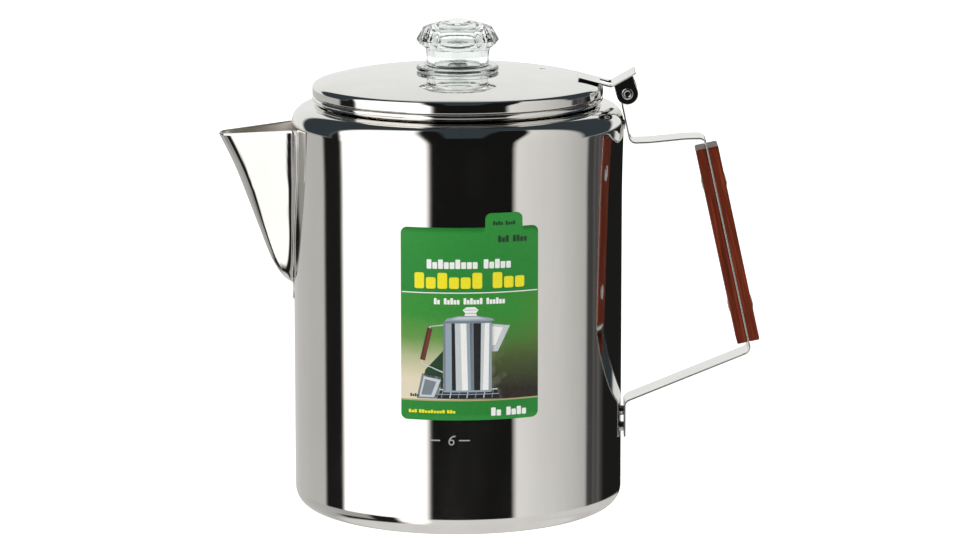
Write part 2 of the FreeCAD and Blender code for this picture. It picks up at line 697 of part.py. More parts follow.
def make_basket_cover():
    """Perforated spreader with a skirt round the basket's rim and a collar round the tube."""
    half = BASKET_SHEET / 2
    skirt = BASKET_RADIUS + COVER_CLEARANCE + half
    plate = BASKET_TOP + STACK_GAP + half
    collar = TUBE_RADIUS + SLEEVE_CLEARANCE + half
    centre_line = [
        (skirt, plate - COVER_SKIRT),
        (skirt, plate, COVER_EDGE_BEND),
        (COVER_STEP_RADII[0], plate, COVER_STEP_BEND),
        (COVER_STEP_RADII[1], plate - COVER_DISH, COVER_STEP_BEND),
        (collar, plate - COVER_DISH, COVER_COLLAR_BEND),
        (collar, plate + COVER_COLLAR_TOP),
    ]
    cover = revolved(sheet_outline(centre_line, BASKET_SHEET))
    tools = []
    for radius, count in COVER_HOLE_RINGS:
        tools += hole_ring(radius, count, COVER_HOLE_RADIUS, plate - COVER_SKIRT, plate + COVER_SKIRT)
    return cover.cut(tools)


def main():
    """Make every sub-part and write one STEP file for each."""
    upper_rivet, lower_rivet = rivet_centres()
    parts = {
        "pot_shell": make_pot_shell(),
        "spout": make_spout(),
        "handle_strap": make_handle_strap(),
        "grip_inner": make_grip(-1),
        "grip_outer": make_grip(1),
        "grip_rivet_upper": make_rivet(upper_rivet),
        "grip_rivet_lower": make_rivet(lower_rivet),
        "label": make_label(),
        "lid_shell": make_lid_shell(),
        "lid_plug_ring": make_lid_plug_ring(),
        "hinge_clip": make_hinge_clip(),
        "hinge_pin": make_hinge_pin(),
        "glass_knob": make_glass_knob(),
        "pump_tube": make_pump_tube(),
        "pump_foot": make_pump_foot(),
        "basket_stop": make_basket_stop(),
        "basket_shell": make_basket_shell(),
        "basket_sleeve": make_basket_sleeve(),
        "basket_cover": make_basket_cover(),
    }
    os.makedirs("parts", exist_ok=True)
    for name, shape in parts.items():
        solids = shape.Solids
        box = shape.BoundBox
        state = f"{name:18s} solids {len(solids)} valid {shape.isValid()} volume {shape.Volume:10.1f}"
        size = " ".join(f"{value:7.1f}" for value in (box.XMin, box.XMax, box.YMin, box.YMax, box.ZMin, box.ZMax))
        print(state, size)
        shape.exportStep(f"parts/{name}.step")


main()
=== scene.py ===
import json
import math

import bmesh
import bpy
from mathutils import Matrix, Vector


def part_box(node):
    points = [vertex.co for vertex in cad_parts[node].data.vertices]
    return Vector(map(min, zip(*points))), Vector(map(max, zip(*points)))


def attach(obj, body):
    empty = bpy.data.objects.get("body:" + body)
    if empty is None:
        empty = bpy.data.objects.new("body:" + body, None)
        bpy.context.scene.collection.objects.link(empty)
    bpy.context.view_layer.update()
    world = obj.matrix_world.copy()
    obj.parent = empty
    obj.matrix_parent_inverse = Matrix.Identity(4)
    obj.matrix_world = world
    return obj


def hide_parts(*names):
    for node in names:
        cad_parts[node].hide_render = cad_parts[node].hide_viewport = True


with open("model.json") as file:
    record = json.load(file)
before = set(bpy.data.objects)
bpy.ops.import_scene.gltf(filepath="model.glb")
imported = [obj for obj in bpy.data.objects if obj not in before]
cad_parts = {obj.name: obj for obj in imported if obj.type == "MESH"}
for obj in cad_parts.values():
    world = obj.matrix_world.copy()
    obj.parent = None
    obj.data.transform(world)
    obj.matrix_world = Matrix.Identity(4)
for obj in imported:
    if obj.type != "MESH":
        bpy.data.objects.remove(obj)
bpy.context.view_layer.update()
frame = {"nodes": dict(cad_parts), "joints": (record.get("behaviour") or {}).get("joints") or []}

# ======== Places read from the frame
# Lengths in this script are millimetres until a mesh is written.
MM = 0.001


def box_mm(node):
    """Lowest and highest corner of a CAD node, in millimetres."""
    low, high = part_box(node)
    return low / MM, high / MM


JOINTS = {joint["name"]: joint for joint in frame["joints"]}
HINGE = Vector(JOINTS["lid_hinge"]["pos_m"]) / MM

# Pot
LABEL_THICKNESS = 0.15
POT_SHEET = 0.6
WALL_RADIUS = -box_mm("label")[0].y - LABEL_THICKNESS
BASE_CORNER = 8.6
STRAIGHT_WALL_TOP = 160.0
SHOULDER_RADIUS = WALL_RADIUS + 0.9
BEAD_TOP = box_mm("pot_shell")[1].z
SHOULDER_EDGE = BEAD_TOP - 6.6
SHOULDER_CORNER = 9.0
NECK_BASE = BEAD_TOP - 3.6
NECK_RADIUS = 67.2
NECK_CORNER = 1.0
BEAD_DIAMETER = 3.3
CURL_GAP = 0.7

# Sampling of curved outlines
SEGMENTS = 256
ARC_STEPS = 10
SUPPORT = 0.5

# Studio
CAMERA_LENS = 163.1
CAMERA_PITCH = 10.57
CAMERA_DISTANCE = 2166.0
CAMERA_AIM = Vector((15.2, 0.0, 112.5))


# ======== Outlines
def mirrored(points):
    """Outline points followed by their mirror image across height zero."""
    return points + [(point[0], -point[1], *point[2:]) for point in reversed(points)]


def with_supports(points, closed):
    """Adds a point near each end of every long straight run, so that shading stays flat there."""
    result = []
    ends = points[1:] + points[:1] if closed else points[1:]
    for start, end in zip(points, ends):
        result.append(start)
        length = (end - start).length
        if length > 4 * SUPPORT:
            step = (end - start) * (SUPPORT / length)
            result += [start + step, end - step]
    if not closed:
        result.append(points[-1])
    return result


def rounded(outline, closed=True, steps=ARC_STEPS):
    """Sampled 2-D outline from (a, b) or (a, b, corner radius) points."""
    points = []
    count = len(outline)
    for index, corner in enumerate(outline):
        here = Vector(corner[:2])
        if len(corner) < 3 or corner[2] <= 0:
            points.append(here)
            continue
        back = (Vector(outline[index - 1][:2]) - here).normalized()
        ahead = (Vector(outline[(index + 1) % count][:2]) - here).normalized()
        half_angle = back.angle(ahead) / 2
        centre = here + (back + ahead).normalized() * (corner[2] / math.sin(half_angle))
        start = here + back * (corner[2] / math.tan(half_angle)) - centre
        turn = math.pi - 2 * half_angle
        side = math.copysign(1, back.cross(ahead))
        for step in range(steps + 1):
            angle = -side * turn * step / steps
            cosine, sine = math.cos(angle), math.sin(angle)
            spoke = Vector((start.x * cosine - start.y * sine, start.x * sine + start.y * cosine))
            points.append(centre + spoke)
    cleaned = [points[0]]
    for point in points[1:]:
        if (point - cleaned[-1]).length > 1e-4:
            cleaned.append(point)
    if closed and (cleaned[0] - cleaned[-1]).length < 1e-4:
        cleaned.pop()
    return with_supports(cleaned, closed)


def sheet_outline(centre_line, thickness, round_start=True, round_end=True):
    """Closed outline of a bent sheet from its centre line of (a, b, bend radius) points."""
    half = thickness / 2
    left, right = [], []
    last = len(centre_line) - 1
    for index, corner in enumerate(centre_line):
        here = Vector(corner[:2])
        bend = corner[2] if len(corner) > 2 else 0
        arriving = here - Vector(centre_line[max(index - 1, 0)][:2])
        leaving = Vector(centre_line[min(index + 1, last)][:2]) - here
        arriving = leaving if index == 0 else arriving
        leaving = arriving if index == last else leaving
        normal_in = Vector((-arriving.y, arriving.x)).normalized()
        normal_out = Vector((-leaving.y, leaving.x)).normalized()
        offset = (normal_in + normal_out) * (half / (1 + normal_in.dot(normal_out)))
        turn = math.copysign(1, arriving.cross(leaving))
        left_bend = max(bend - turn * half, 0.02) if bend else 0
        right_bend = max(bend + turn * half, 0.02) if bend else 0
        if (index == 0 and round_start) or (index == last and round_end):
            left_bend = right_bend = 0.7 * half
        left.append((here.x + offset.x, here.y + offset.y, left_bend))
        right.append((here.x - offset.x, here.y - offset.y, right_bend))
    return left + right[::-1]


# ======== Meshes
def make_object(name, mesh, material, body):
    """Puts a finished mesh into the scene, smooth shaded, on its body."""
    mesh.name = name
    piece = bpy.data.objects.new(name, mesh)
    bpy.context.scene.collection.objects.link(piece)
    for polygon in mesh.polygons:
        polygon.use_smooth = True
    mesh.materials.append(material)
    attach(piece, body)
    return piece


def new_mesh(name, builder):
    """Mesh with the contents of a bmesh, which is used up."""
    mesh = bpy.data.meshes.new(name)
    builder.to_mesh(mesh)
    builder.free()
    return mesh


def mesh_from(builder):
    """Mesh in metres from a bmesh in millimetres, with its normals turned outwards."""
    bmesh.ops.recalc_face_normals(builder, faces=builder.faces)
    bmesh.ops.scale(builder, vec=(MM, MM, MM), verts=builder.verts)
    return new_mesh("mesh", builder)


def lathe_mesh(outline, segments=SEGMENTS, shape=None, angles=None):
    """Closed surface of revolution about the pot's axis from a closed (radius, height) outline.

    shape(radius, height, angle) may change the radius, as for a faceted or keyed form.
    """
    builder = bmesh.new()
    if angles is None:
        angles = [2 * math.pi * step / segments for step in range(segments)]
    rings = []
    for radius, height in outline:
        if radius < 1e-4:
            rings.append([builder.verts.new((0, 0, height))])
            continue
        ring = []
        for angle in angles:
            reach = shape(radius, height, angle) if shape else radius
            place = (reach * math.cos(angle), reach * math.sin(angle), height)
            ring.append(builder.verts.new(place))
        rings.append(ring)
    count = len(angles)
    for low, high in zip(rings, rings[1:] + rings[:1]):
        if len(low) == 1 and len(high) == 1:
            continue
        for step in range(count):
            corners = [low[step % len(low)], low[(step + 1) % len(low)]]
            corners += [high[(step + 1) % len(high)], high[step % len(high)]]
            builder.faces.new(list(dict.fromkeys(corners)))
    return mesh_from(builder)


def lathe_along_y(piece_mesh, centre):
    """Turns a lathed mesh from the Z axis to the Y axis through a centre point in millimetres."""
    for vertex in piece_mesh.vertices:
        x, y, z = vertex.co
        vertex.co = (x + centre.x * MM, z + centre.y * MM, -y + centre.z * MM)
    return piece_mesh


def strip_mesh(centre_line, thickness, width, edge):
    """Bent strip centred on Y, swept along a centre line in the XZ plane, with rounded edges."""
    path = rounded(centre_line, closed=False)
    across = width / 2 - edge
    up = thickness / 2 - edge
    section = []
    corners = ((up, across), (-up, across), (-up, -across), (up, -across))
    for quarter, (corner_x, corner_y) in enumerate(corners):
        for step in range(4):
            angle = math.radians(90 * quarter + 30 * step)
            depth = corner_x + edge * math.cos(angle)
            section.append(Vector((depth, corner_y + edge * math.sin(angle))))
    section = with_supports(section, True)
    builder = bmesh.new()
    rings = []
    last = len(path) - 1
    for index, point in enumerate(path):
        before = path[max(index - 1, 0)]
        after = path[min(index + 1, last)]
        along_in = (point - before).normalized() if index else (after - point).normalized()
        along_out = (after - point).normalized() if index < last else along_in
        normal_in = Vector((-along_in.y, along_in.x))
        normal_out = Vector((-along_out.y, along_out.x))
        normal = (normal_in + normal_out) / (1 + normal_in.dot(normal_out))
        ring = []
        for depth, side in section:
            place = point + normal * depth
            ring.append(builder.verts.new((place.x, side, place.y)))
        rings.append(ring)
    count = len(section)
    for low, high in zip(rings, rings[1:]):
        for step in range(count):
            after = (step + 1) % count
            builder.faces.new((low[step], low[after], high[after], high[step]))
    builder.faces.new(rings[0])
    builder.faces.new(rings[-1][::-1])
    return mesh_from(builder)


def plate_mesh(outline, thickness, centre_y, edge):
    """Flat plate standing in the XZ plane with softened edges."""
    builder = bmesh.new()
    points = []
    for point in outline:
        if not points or (point - points[-1]).length > 1e-3:
            points.append(point)
    front = centre_y - thickness / 2
    face = builder.faces.new([builder.verts.new((point.x, front, point.y)) for point in points])
    side = bmesh.ops.extrude_face_region(builder, geom=[face])
    moved = [item for item in side["geom"] if isinstance(item, bmesh.types.BMVert)]
    bmesh.ops.translate(builder, vec=(0, thickness, 0), verts=moved)
    rims = []
    for item in builder.edges:
        if abs(item.verts[0].co.y - item.verts[1].co.y) < 1e-6:
            rims.append(item)
    bmesh.ops.bevel(builder, geom=rims, offset=edge, segments=2, profile=0.5, affect="EDGES")
    return mesh_from(builder)


def cut_away(piece, cutters):
    """Cuts closed meshes, in metres, out of a piece for good."""
    merged = bmesh.new()
    for cutter in cutters:
        merged.from_mesh(cutter)
        bpy.data.meshes.remove(cutter)
    mesh = new_mesh("cutter", merged)
    tool = bpy.data.objects.new("cutter", mesh)
    bpy.context.scene.collection.objects.link(tool)
    modifier = piece.modifiers.new("cut", "BOOLEAN")
    modifier.operation = "DIFFERENCE"
    modifier.solver = "EXACT"
    modifier.object = tool
    bpy.context.view_layer.update()
    graph = bpy.context.evaluated_depsgraph_get()
    result = bpy.data.meshes.new_from_object(piece.evaluated_get(graph))
    piece.modifiers.remove(modifier)
    old = piece.data
    piece.data = result
    result.name = old.name + "_cut"
    bpy.data.meshes.remove(old)
    bpy.data.objects.remove(tool)
    bpy.data.meshes.remove(mesh)
    for polygon in piece.data.polygons:
        polygon.use_smooth = True


def rod_mesh(start, direction, radius, length, sides=32):
    """Plain closed cylinder in metres, used only to cut holes."""
    builder = bmesh.new()
    turn = Vector((0, 0, 1)).rotation_difference(Vector(direction)).to_matrix().to_4x4()
    bmesh.ops.create_cone(
        builder, cap_ends=True, segments=sides, radius1=radius, radius2=radius, depth=length)
    bmesh.ops.translate(builder, vec=(0, 0, length / 2), verts=builder.verts)
    bmesh.ops.transform(builder, matrix=turn, verts=builder.verts)
    bmesh.ops.translate(builder, vec=start, verts=builder.verts)
    return mesh_from(builder)


def even_normals(piece):
    """Keeps large flat faces flat next to their rounded edges."""
    modifier = piece.modifiers.new("even normals", "WEIGHTED_NORMAL")
    modifier.weight = 80
    modifier.keep_sharp = True


# ======== Materials
class Tree:
    """Short forms for building a node tree."""

    def __init__(self, tree):
        self.tree = tree

    def link(self, source, target):
        """Joins an output to an input, or sets the input's own value."""
        if isinstance(source, bpy.types.NodeSocket):
            self.tree.links.new(source, target)
        else:
            target.default_value = source

    def node(self, kind, *values):
        """New node, with its first inputs joined or set."""
        node = self.tree.nodes.new("ShaderNode" + kind)
        for value, socket in zip(values, node.inputs):
            self.link(value, socket)
        return node

    def math(self, operation, first, second=0.0, third=0.0):
        """Result of a math operation on up to three values."""
        node = self.node("Math", first, second, third)
        node.operation = operation
        return node.outputs[0]

    def place(self, kind="Object"):
        """Texture coordinate, in metres from the pot's origin unless another kind is named."""
        return self.node("TexCoord").outputs[kind]

    def ramp(self, value, stops):
        """Colour ramp through (position, (red, green, blue)) stops."""
        node = self.node("ValToRGB", value)
        elements = node.color_ramp.elements
        while len(elements) < len(stops):
            elements.new(0.5)
        for element, (position, colour) in zip(elements, stops):
            element.position = position
            element.color = (*colour, 1.0)
        return node.outputs["Color"]

    def mix(self, factor, first, second):
        """Blend of two colours."""
        node = self.node("Mix")
        node.data_type = "RGBA"
        self.link(factor, node.inputs[0])
        for value, socket in ((first, node.inputs[6]), (second, node.inputs[7])):
            self.link((*value, 1.0) if isinstance(value, tuple) else value, socket)
        return node.outputs[2]


class Nodes(Tree):
    """A new material and short forms for its textures and shader."""

    def __init__(self, name):
        self.material = bpy.data.materials.new(name)
        self.material.use_nodes = True
        super().__init__(self.material.node_tree)
        self.shader = self.tree.nodes["Principled BSDF"]

    def set(self, **values):
        """Sets shader sockets; underscores stand for spaces."""
        for name, value in values.items():
            self.link(value, self.shader.inputs[name.replace("_", " ")])

    def scaled(self, vector, scale, turn=(0, 0, 0)):
        """Coordinate stretched along its axes, and turned first if asked."""
        node = self.node("Mapping", vector)
        node.inputs["Scale"].default_value = scale
        node.inputs["Rotation"].default_value = turn
        return node.outputs[0]

    def noise(self, vector, scale, detail=3.0, roughness=0.5, distortion=0.0):
        """Noise from 0 to 1."""
        node = self.node("TexNoise")
        self.link(vector, node.inputs["Vector"])
        node.inputs["Scale"].default_value = scale
        node.inputs["Detail"].default_value = detail
        node.inputs["Roughness"].default_value = roughness
        node.inputs["Distortion"].default_value = distortion
        return node.outputs["Fac"]

    def range(self, value, low, high, to_low=0.0, to_high=1.0):
        """Value moved from one range to another and kept inside it."""
        return self.node("MapRange", value, low, high, to_low, to_high).outputs[0]

    def bump(self, height, strength, distance):
        """Fine relief on the shader's normal."""
        node = self.node("Bump")
        node.inputs["Strength"].default_value = strength
        node.inputs["Distance"].default_value = distance
        self.link(height, node.inputs["Height"])
        self.link(node.outputs[0], self.shader.inputs["Normal"])


def polished_steel():
    """Mirror-polished stainless: faint haze from polishing, finger smudges and drawn waviness."""
    nodes = Nodes("polished_steel")
    place = nodes.place()
    haze = nodes.noise(nodes.scaled(place, (14, 14, 3)), 3.0, 4.0, 0.6)
    smudge = nodes.noise(place, 28.0, 5.0, 0.65, 0.4)
    polish = nodes.noise(nodes.scaled(place, (60, 60, 900)), 6.0, 2.0)
    rough = nodes.range(haze, 0.35, 0.75, 0.035, 0.075)
    rough = nodes.math("ADD", rough, nodes.range(smudge, 0.58, 0.78, 0.0, 0.05))
    tint = nodes.mix(nodes.range(haze, 0.3, 0.7), (0.80, 0.79, 0.77), (0.86, 0.855, 0.84))
    nodes.set(Base_Color=tint, Metallic=1.0, Roughness=rough)
    wave = nodes.math("MULTIPLY_ADD", polish, 0.04, nodes.noise(place, 9.0, 1.0))
    nodes.bump(wave, 0.12, 0.0006)
    return nodes.material


def satin_steel():
    """Plain drawn stainless of the parts inside: fine circular draw lines and water bloom."""
    nodes = Nodes("satin_steel")
    place = nodes.place()
    lines = nodes.noise(nodes.scaled(place, (8, 8, 1400)), 4.0, 3.0)
    bloom = nodes.noise(place, 30.0, 5.0, 0.6, 0.5)
    tint = nodes.mix(nodes.range(bloom, 0.4, 0.75), (0.62, 0.62, 0.61), (0.50, 0.48, 0.44))
    rough = nodes.math("MULTIPLY_ADD", lines, 0.14, nodes.range(bloom, 0.3, 0.8, 0.16, 0.30))
    nodes.set(Base_Color=tint, Metallic=1.0, Roughness=rough)
    nodes.bump(lines, 0.10, 0.0002)
    return nodes.material


def pickled_steel():
    """Inside of the pressed spout: unpolished pale sheet with a warm heat tint and wiping marks."""
    nodes = Nodes("pickled_steel")
    place = nodes.place()
    wipes = nodes.noise(nodes.scaled(place, (30, 30, 220)), 5.0, 3.0)
    heat = nodes.noise(place, 22.0, 4.0, 0.6, 0.3)
    tint = nodes.mix(nodes.range(heat, 0.35, 0.7), (0.96, 0.92, 0.85), (0.93, 0.86, 0.74))
    rough = nodes.math("MULTIPLY_ADD", wipes, 0.12, nodes.range(heat, 0.3, 0.8, 0.36, 0.46))
    nodes.set(Base_Color=tint, Metallic=1.0, Roughness=rough)
    nodes.bump(wipes, 0.12, 0.0003)
    return nodes.material


def rivet_steel():
    """Rolled rivet ends: softer shine with small dents and a little brown in the recesses."""
    nodes = Nodes("rivet_steel")
    place = nodes.place()
    dents = nodes.noise(place, 900.0, 3.0)
    patina = nodes.noise(place, 260.0, 4.0, 0.6)
    tint = nodes.mix(nodes.range(patina, 0.5, 0.8), (0.66, 0.66, 0.65), (0.42, 0.37, 0.31))
    nodes.set(Base_Color=tint, Metallic=1.0, Roughness=nodes.range(dents, 0.3, 0.7, 0.14, 0.3))
    nodes.bump(dents, 0.2, 0.0002)
    return nodes.material


def clear_glass():
    """Clear pressed glass with a slight green cast and faint flow ripples."""
    nodes = Nodes("clear_glass")
    ripple = nodes.noise(nodes.place(), 160.0, 2.0, 0.4, 0.8)
    tint = nodes.mix(ripple, (0.965, 0.985, 0.975), (0.945, 0.975, 0.96))
    nodes.set(Base_Color=tint, Roughness=0.0, IOR=1.5, Transmission_Weight=1.0)
    nodes.bump(ripple, 0.25, 0.0004)
    return nodes.material


GRIP_LEAN = 12.5


def grip_wood():
    """Oiled reddish-brown hardwood: long grain down the slab, colour figure and dark pores."""
    nodes = Nodes("grip_wood")
    along = nodes.scaled(nodes.place(), (1, 1, 1), (0, math.radians(GRIP_LEAN), 0))
    grain = nodes.noise(nodes.scaled(along, (260, 260, 9)), 3.0, 6.0, 0.6, 0.25)
    pores = nodes.noise(nodes.scaled(along, (1500, 1500, 55)), 2.0, 2.0)
    figure = nodes.noise(nodes.scaled(along, (60, 60, 6)), 3.0, 3.0, 0.5, 0.6)
    colour = nodes.ramp(grain, [
        (0.32, (0.055, 0.006, 0.002)),
        (0.50, (0.15, 0.018, 0.004)),
        (0.68, (0.31, 0.052, 0.010)),
    ])
    colour = nodes.mix(nodes.range(figure, 0.35, 0.7, 0.0, 0.6), colour, (0.17, 0.022, 0.005))
    colour = nodes.mix(nodes.range(pores, 0.58, 0.72, 0.0, 0.55), colour, (0.035, 0.008, 0.003))
    nodes.set(Base_Color=colour, Roughness=nodes.range(pores, 0.3, 0.7, 0.28, 0.48))
    nodes.set(Specular_IOR_Level=0.15, Coat_Weight=0.10, Coat_Roughness=0.16)
    nodes.bump(nodes.math("MULTIPLY_ADD", pores, -0.5, grain), 0.35, 0.0002)
    return nodes.material


LABEL_HEIGHT = 92.5
PICTURE_BOTTOM = 9.8
PICTURE_TOP = 61.0
# Millimetres of label to one unit of its print coordinates
CHART_SCALE = 100


def label_paper():
    """Printed adhesive paper: green ground with a soft-shaded picture field between two rules."""
    nodes = Nodes("paper_label")
    split = nodes.node("SeparateXYZ", nodes.place("UV"))
    along, up = split.outputs["X"], split.outputs["Y"]
    fibre = nodes.noise(nodes.place(), 700.0, 4.0, 0.6)
    mottle = nodes.noise(nodes.place(), 90.0, 3.0, 0.6, 0.6)
    green = nodes.mix(nodes.range(up, 0.6, 1.0), (0.012, 0.250, 0.030), (0.022, 0.300, 0.038))
    leaf = nodes.mix(nodes.range(along, 0.55, 0.95), (0.030, 0.290, 0.030), (0.115, 0.230, 0.028))
    low_left = nodes.mix(nodes.range(up, 0.20, 0.40), (0.78, 0.70, 0.52), (0.20, 0.34, 0.080))
    low_right = nodes.mix(nodes.range(up, 0.14, 0.42), (0.026, 0.020, 0.016), (0.105, 0.175, 0.035))
    sideways = nodes.math("MULTIPLY_ADD", mottle, 0.25, along)
    low = nodes.mix(nodes.range(sideways, 0.30, 0.62), low_left, low_right)
    upwards = nodes.math("MULTIPLY_ADD", mottle, 0.10, up)
    picture = nodes.mix(nodes.range(upwards, 0.36, 0.56), low, leaf)
    over_bottom = nodes.math("GREATER_THAN", up, PICTURE_BOTTOM / CHART_SCALE)
    under_top = nodes.math("LESS_THAN", up, PICTURE_TOP / CHART_SCALE)
    inside = nodes.math("MULTIPLY", over_bottom, under_top)
    colour = nodes.mix(inside, green, picture)
    colour = nodes.mix(nodes.range(fibre, 0.3, 0.7, 0.0, 0.03), colour, (0.5, 0.5, 0.45))
    nodes.set(Base_Color=colour, Roughness=nodes.range(fibre, 0.3, 0.7, 0.42, 0.52))
    nodes.set(Specular_IOR_Level=0.25)
    nodes.bump(fibre, 0.08, 0.0001)
    return nodes.material


def ink(name, colour, gloss=0.35):
    """Printed ink with a slightly uneven lay-down."""
    nodes = Nodes(name)
    grain = nodes.noise(nodes.place(), 1200.0, 3.0)
    thin = tuple(0.92 * value + 0.01 for value in colour)
    nodes.set(Base_Color=nodes.mix(nodes.range(grain, 0.35, 0.7), colour, thin), Roughness=gloss)
    nodes.set(Specular_IOR_Level=0.3)
    return nodes.material


STEEL = polished_steel()
SATIN = satin_steel()
SHEET = pickled_steel()
RIVET = rivet_steel()
GLASS = clear_glass()
WOOD = grip_wood()
PAPER = label_paper()
INKS = [
    ink("ink_white", (0.96, 0.97, 0.95)),
    ink("ink_yellow", (0.98, 0.86, 0.01)),
    ink("ink_dark_green", (0.012, 0.055, 0.02)),
    ink("ink_gold", (0.48, 0.42, 0.20)),
    ink("ink_light_grey", (0.62, 0.67, 0.70)),
    ink("ink_mid_grey", (0.20, 0.24, 0.28)),
    ink("ink_black", (0.018, 0.020, 0.022)),
    ink("ink_brown", (0.16, 0.030, 0.015)),
    ink("ink_blue_grey", (0.34, 0.42, 0.50)),
]
WHITE, YELLOW, DARK_GREEN, GOLD, LIGHT_GREY, MID_GREY, BLACK, BROWN, BLUE_GREY = range(len(INKS))
ETCH = ink("etched_mark", (0.46, 0.46, 0.45), 0.6)


# ======== Pot
def pot_centre_line():
    """Centre line of the pot's sheet, from the middle of the base to the curled rim."""
    half = POT_SHEET / 2
    curl = BEAD_DIAMETER / 2 - half
    neck = NECK_RADIUS + half
    bead_high = BEAD_TOP - half
    bead_low = bead_high - 2 * curl
    return [
        (0, half),
        (WALL_RADIUS - half, half, BASE_CORNER - half),
        (WALL_RADIUS - half, STRAIGHT_WALL_TOP, 900),
        (SHOULDER_RADIUS - half, SHOULDER_EDGE - half, SHOULDER_CORNER - half),
        (neck, NECK_BASE - half, NECK_CORNER),
        (neck, bead_high, curl),
        (neck + 2 * curl, bead_high, curl),
        (neck + 2 * curl, bead_low, curl),
        (neck + half + CURL_GAP, bead_low),
    ]


def wall_radius(height):
    """Outer radius of the pot's wall at a height below the shoulder's curve."""
    rise = max(height - STRAIGHT_WALL_TOP, 0) / (SHOULDER_EDGE - STRAIGHT_WALL_TOP)
    return WALL_RADIUS + (SHOULDER_RADIUS - WALL_RADIUS) * rise


STRAINER_HOLE_RADIUS = 1.7
STRAINER_PITCH = 7.5
STRAINER_ROWS = 8
STRAINER_START = 22.0


def make_pot():
    """Drawn body with its rolled rim and the strainer holes behind the spout."""
    outline = rounded(sheet_outline(pot_centre_line(), POT_SHEET, round_start=False))
    mesh = lathe_mesh(outline)
    pot = make_object("pot_body", mesh, STEEL, "pot")
    cutters = []
    first_row = box_mm("spout")[0].z + STRAINER_START
    for row in range(STRAINER_ROWS):
        height = first_row + row * STRAINER_PITCH
        reach = spout_half_width(height) - 2 * STRAINER_HOLE_RADIUS
        shift = STRAINER_PITCH / 2 * (row % 2)
        for column in range(-3, 4):
            across = column * STRAINER_PITCH + shift
            if abs(across) <= max(reach, 0):
                start = (-WALL_RADIUS - 5, across, height)
                cutters.append(rod_mesh(start, (1, 0, 0), STRAINER_HOLE_RADIUS, 20))
    cut_away(pot, cutters)
    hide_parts("pot_shell")


# ======== Label and printed shapes, laid out flat in millimetres from the label's lower left corner
LABEL_LOW, LABEL_HIGH = box_mm("label")
LABEL_CORNER = 3.0
TAB_LEFT = 13.5
TAB_RIGHT = 31.0
BODY_TOP = LABEL_LOW.z + LABEL_HEIGHT
FLAT_STEP = 1.5
FLAT_COLUMNS = 38
CORNER_STEPS = 8
# Heights at which a label column is divided, as shares of the column
COLUMN_SHARES = (0, 0.03, 0.25, 0.5, 0.75, 0.97, 1)


def corner_drop(distance):
    """How far a rounded corner has fallen at a distance from the label's side edge."""
    if distance >= LABEL_CORNER:
        return 0.0
    return LABEL_CORNER - math.sqrt(LABEL_CORNER ** 2 - (LABEL_CORNER - max(distance, 0)) ** 2)


def arc_length(x):
    """Length along the wall from the middle of the front."""
    return WALL_RADIUS * math.asin(x / WALL_RADIUS)


def make_label():
    """Label with rounded corners and a lift tab, wrapped round the wall."""
    across = []
    for step in range(CORNER_STEPS + 1):
        inset = LABEL_CORNER * (1 - math.cos(math.pi / 2 * step / CORNER_STEPS))
        across += [LABEL_LOW.x + inset, LABEL_HIGH.x - inset, TAB_LEFT + inset, TAB_RIGHT - inset]
    flat_start = LABEL_LOW.x + LABEL_CORNER
    across += [flat_start + FLAT_STEP * step for step in range(1, FLAT_COLUMNS + 1)]
    across = sorted(value for value in across if value <= LABEL_HIGH.x)
    pairs = zip(across, across[1:])
    columns = [value for value, after in pairs if after - value > 0.02] + [across[-1]]
    start = arc_length(LABEL_LOW.x)
    builder = bmesh.new()
    chart = builder.loops.layers.uv.new("print")
    places = {}

    def vertex(x, z):
        key = (round(x, 4), round(z, 4))
        if key not in places:
            depth = -math.sqrt((WALL_RADIUS + LABEL_THICKNESS) ** 2 - x ** 2)
            places[key] = builder.verts.new((x * MM, depth * MM, z * MM))
        return places[key]

    def panel(left, right, spans):
        corners = []
        for x, (low, high) in zip((left, right), spans):
            corners.append([low + (high - low) * share for share in COLUMN_SHARES])
        for row in range(len(COLUMN_SHARES) - 1):
            quad = [(left, corners[0][row]), (right, corners[1][row])]
            quad += [(right, corners[1][row + 1]), (left, corners[0][row + 1])]
            quad = [point for index, point in enumerate(quad) if point not in quad[:index]]
            face = builder.faces.new([vertex(*point) for point in quad])
            for loop, (x, z) in zip(face.loops, quad):
                along = (arc_length(x) - start) / CHART_SCALE
                loop[chart].uv = (along, (z - LABEL_LOW.z) / CHART_SCALE)

    for left, right in zip(columns, columns[1:]):
        spans = []
        for x in (left, right):
            drop = corner_drop(min(x - LABEL_LOW.x, LABEL_HIGH.x - x))
            spans.append((LABEL_LOW.z + drop, BODY_TOP - drop))
        panel(left, right, spans)
        if left >= TAB_LEFT - 0.01 and right <= TAB_RIGHT + 0.01:
            spans = []
            for x in (left, right):
                drop = corner_drop(min(x - TAB_LEFT, TAB_RIGHT - x))
                spans.append((BODY_TOP, LABEL_HIGH.z - drop))
            panel(left, right, spans)
    label = make_object("label_sheet", new_mesh("label_sheet", builder), PAPER, "pot")
    sheet = label.modifiers.new("sheet", "SOLIDIFY")
    sheet.thickness = 0.8 * LABEL_THICKNESS * MM
    sheet.offset = -1
    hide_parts("label")


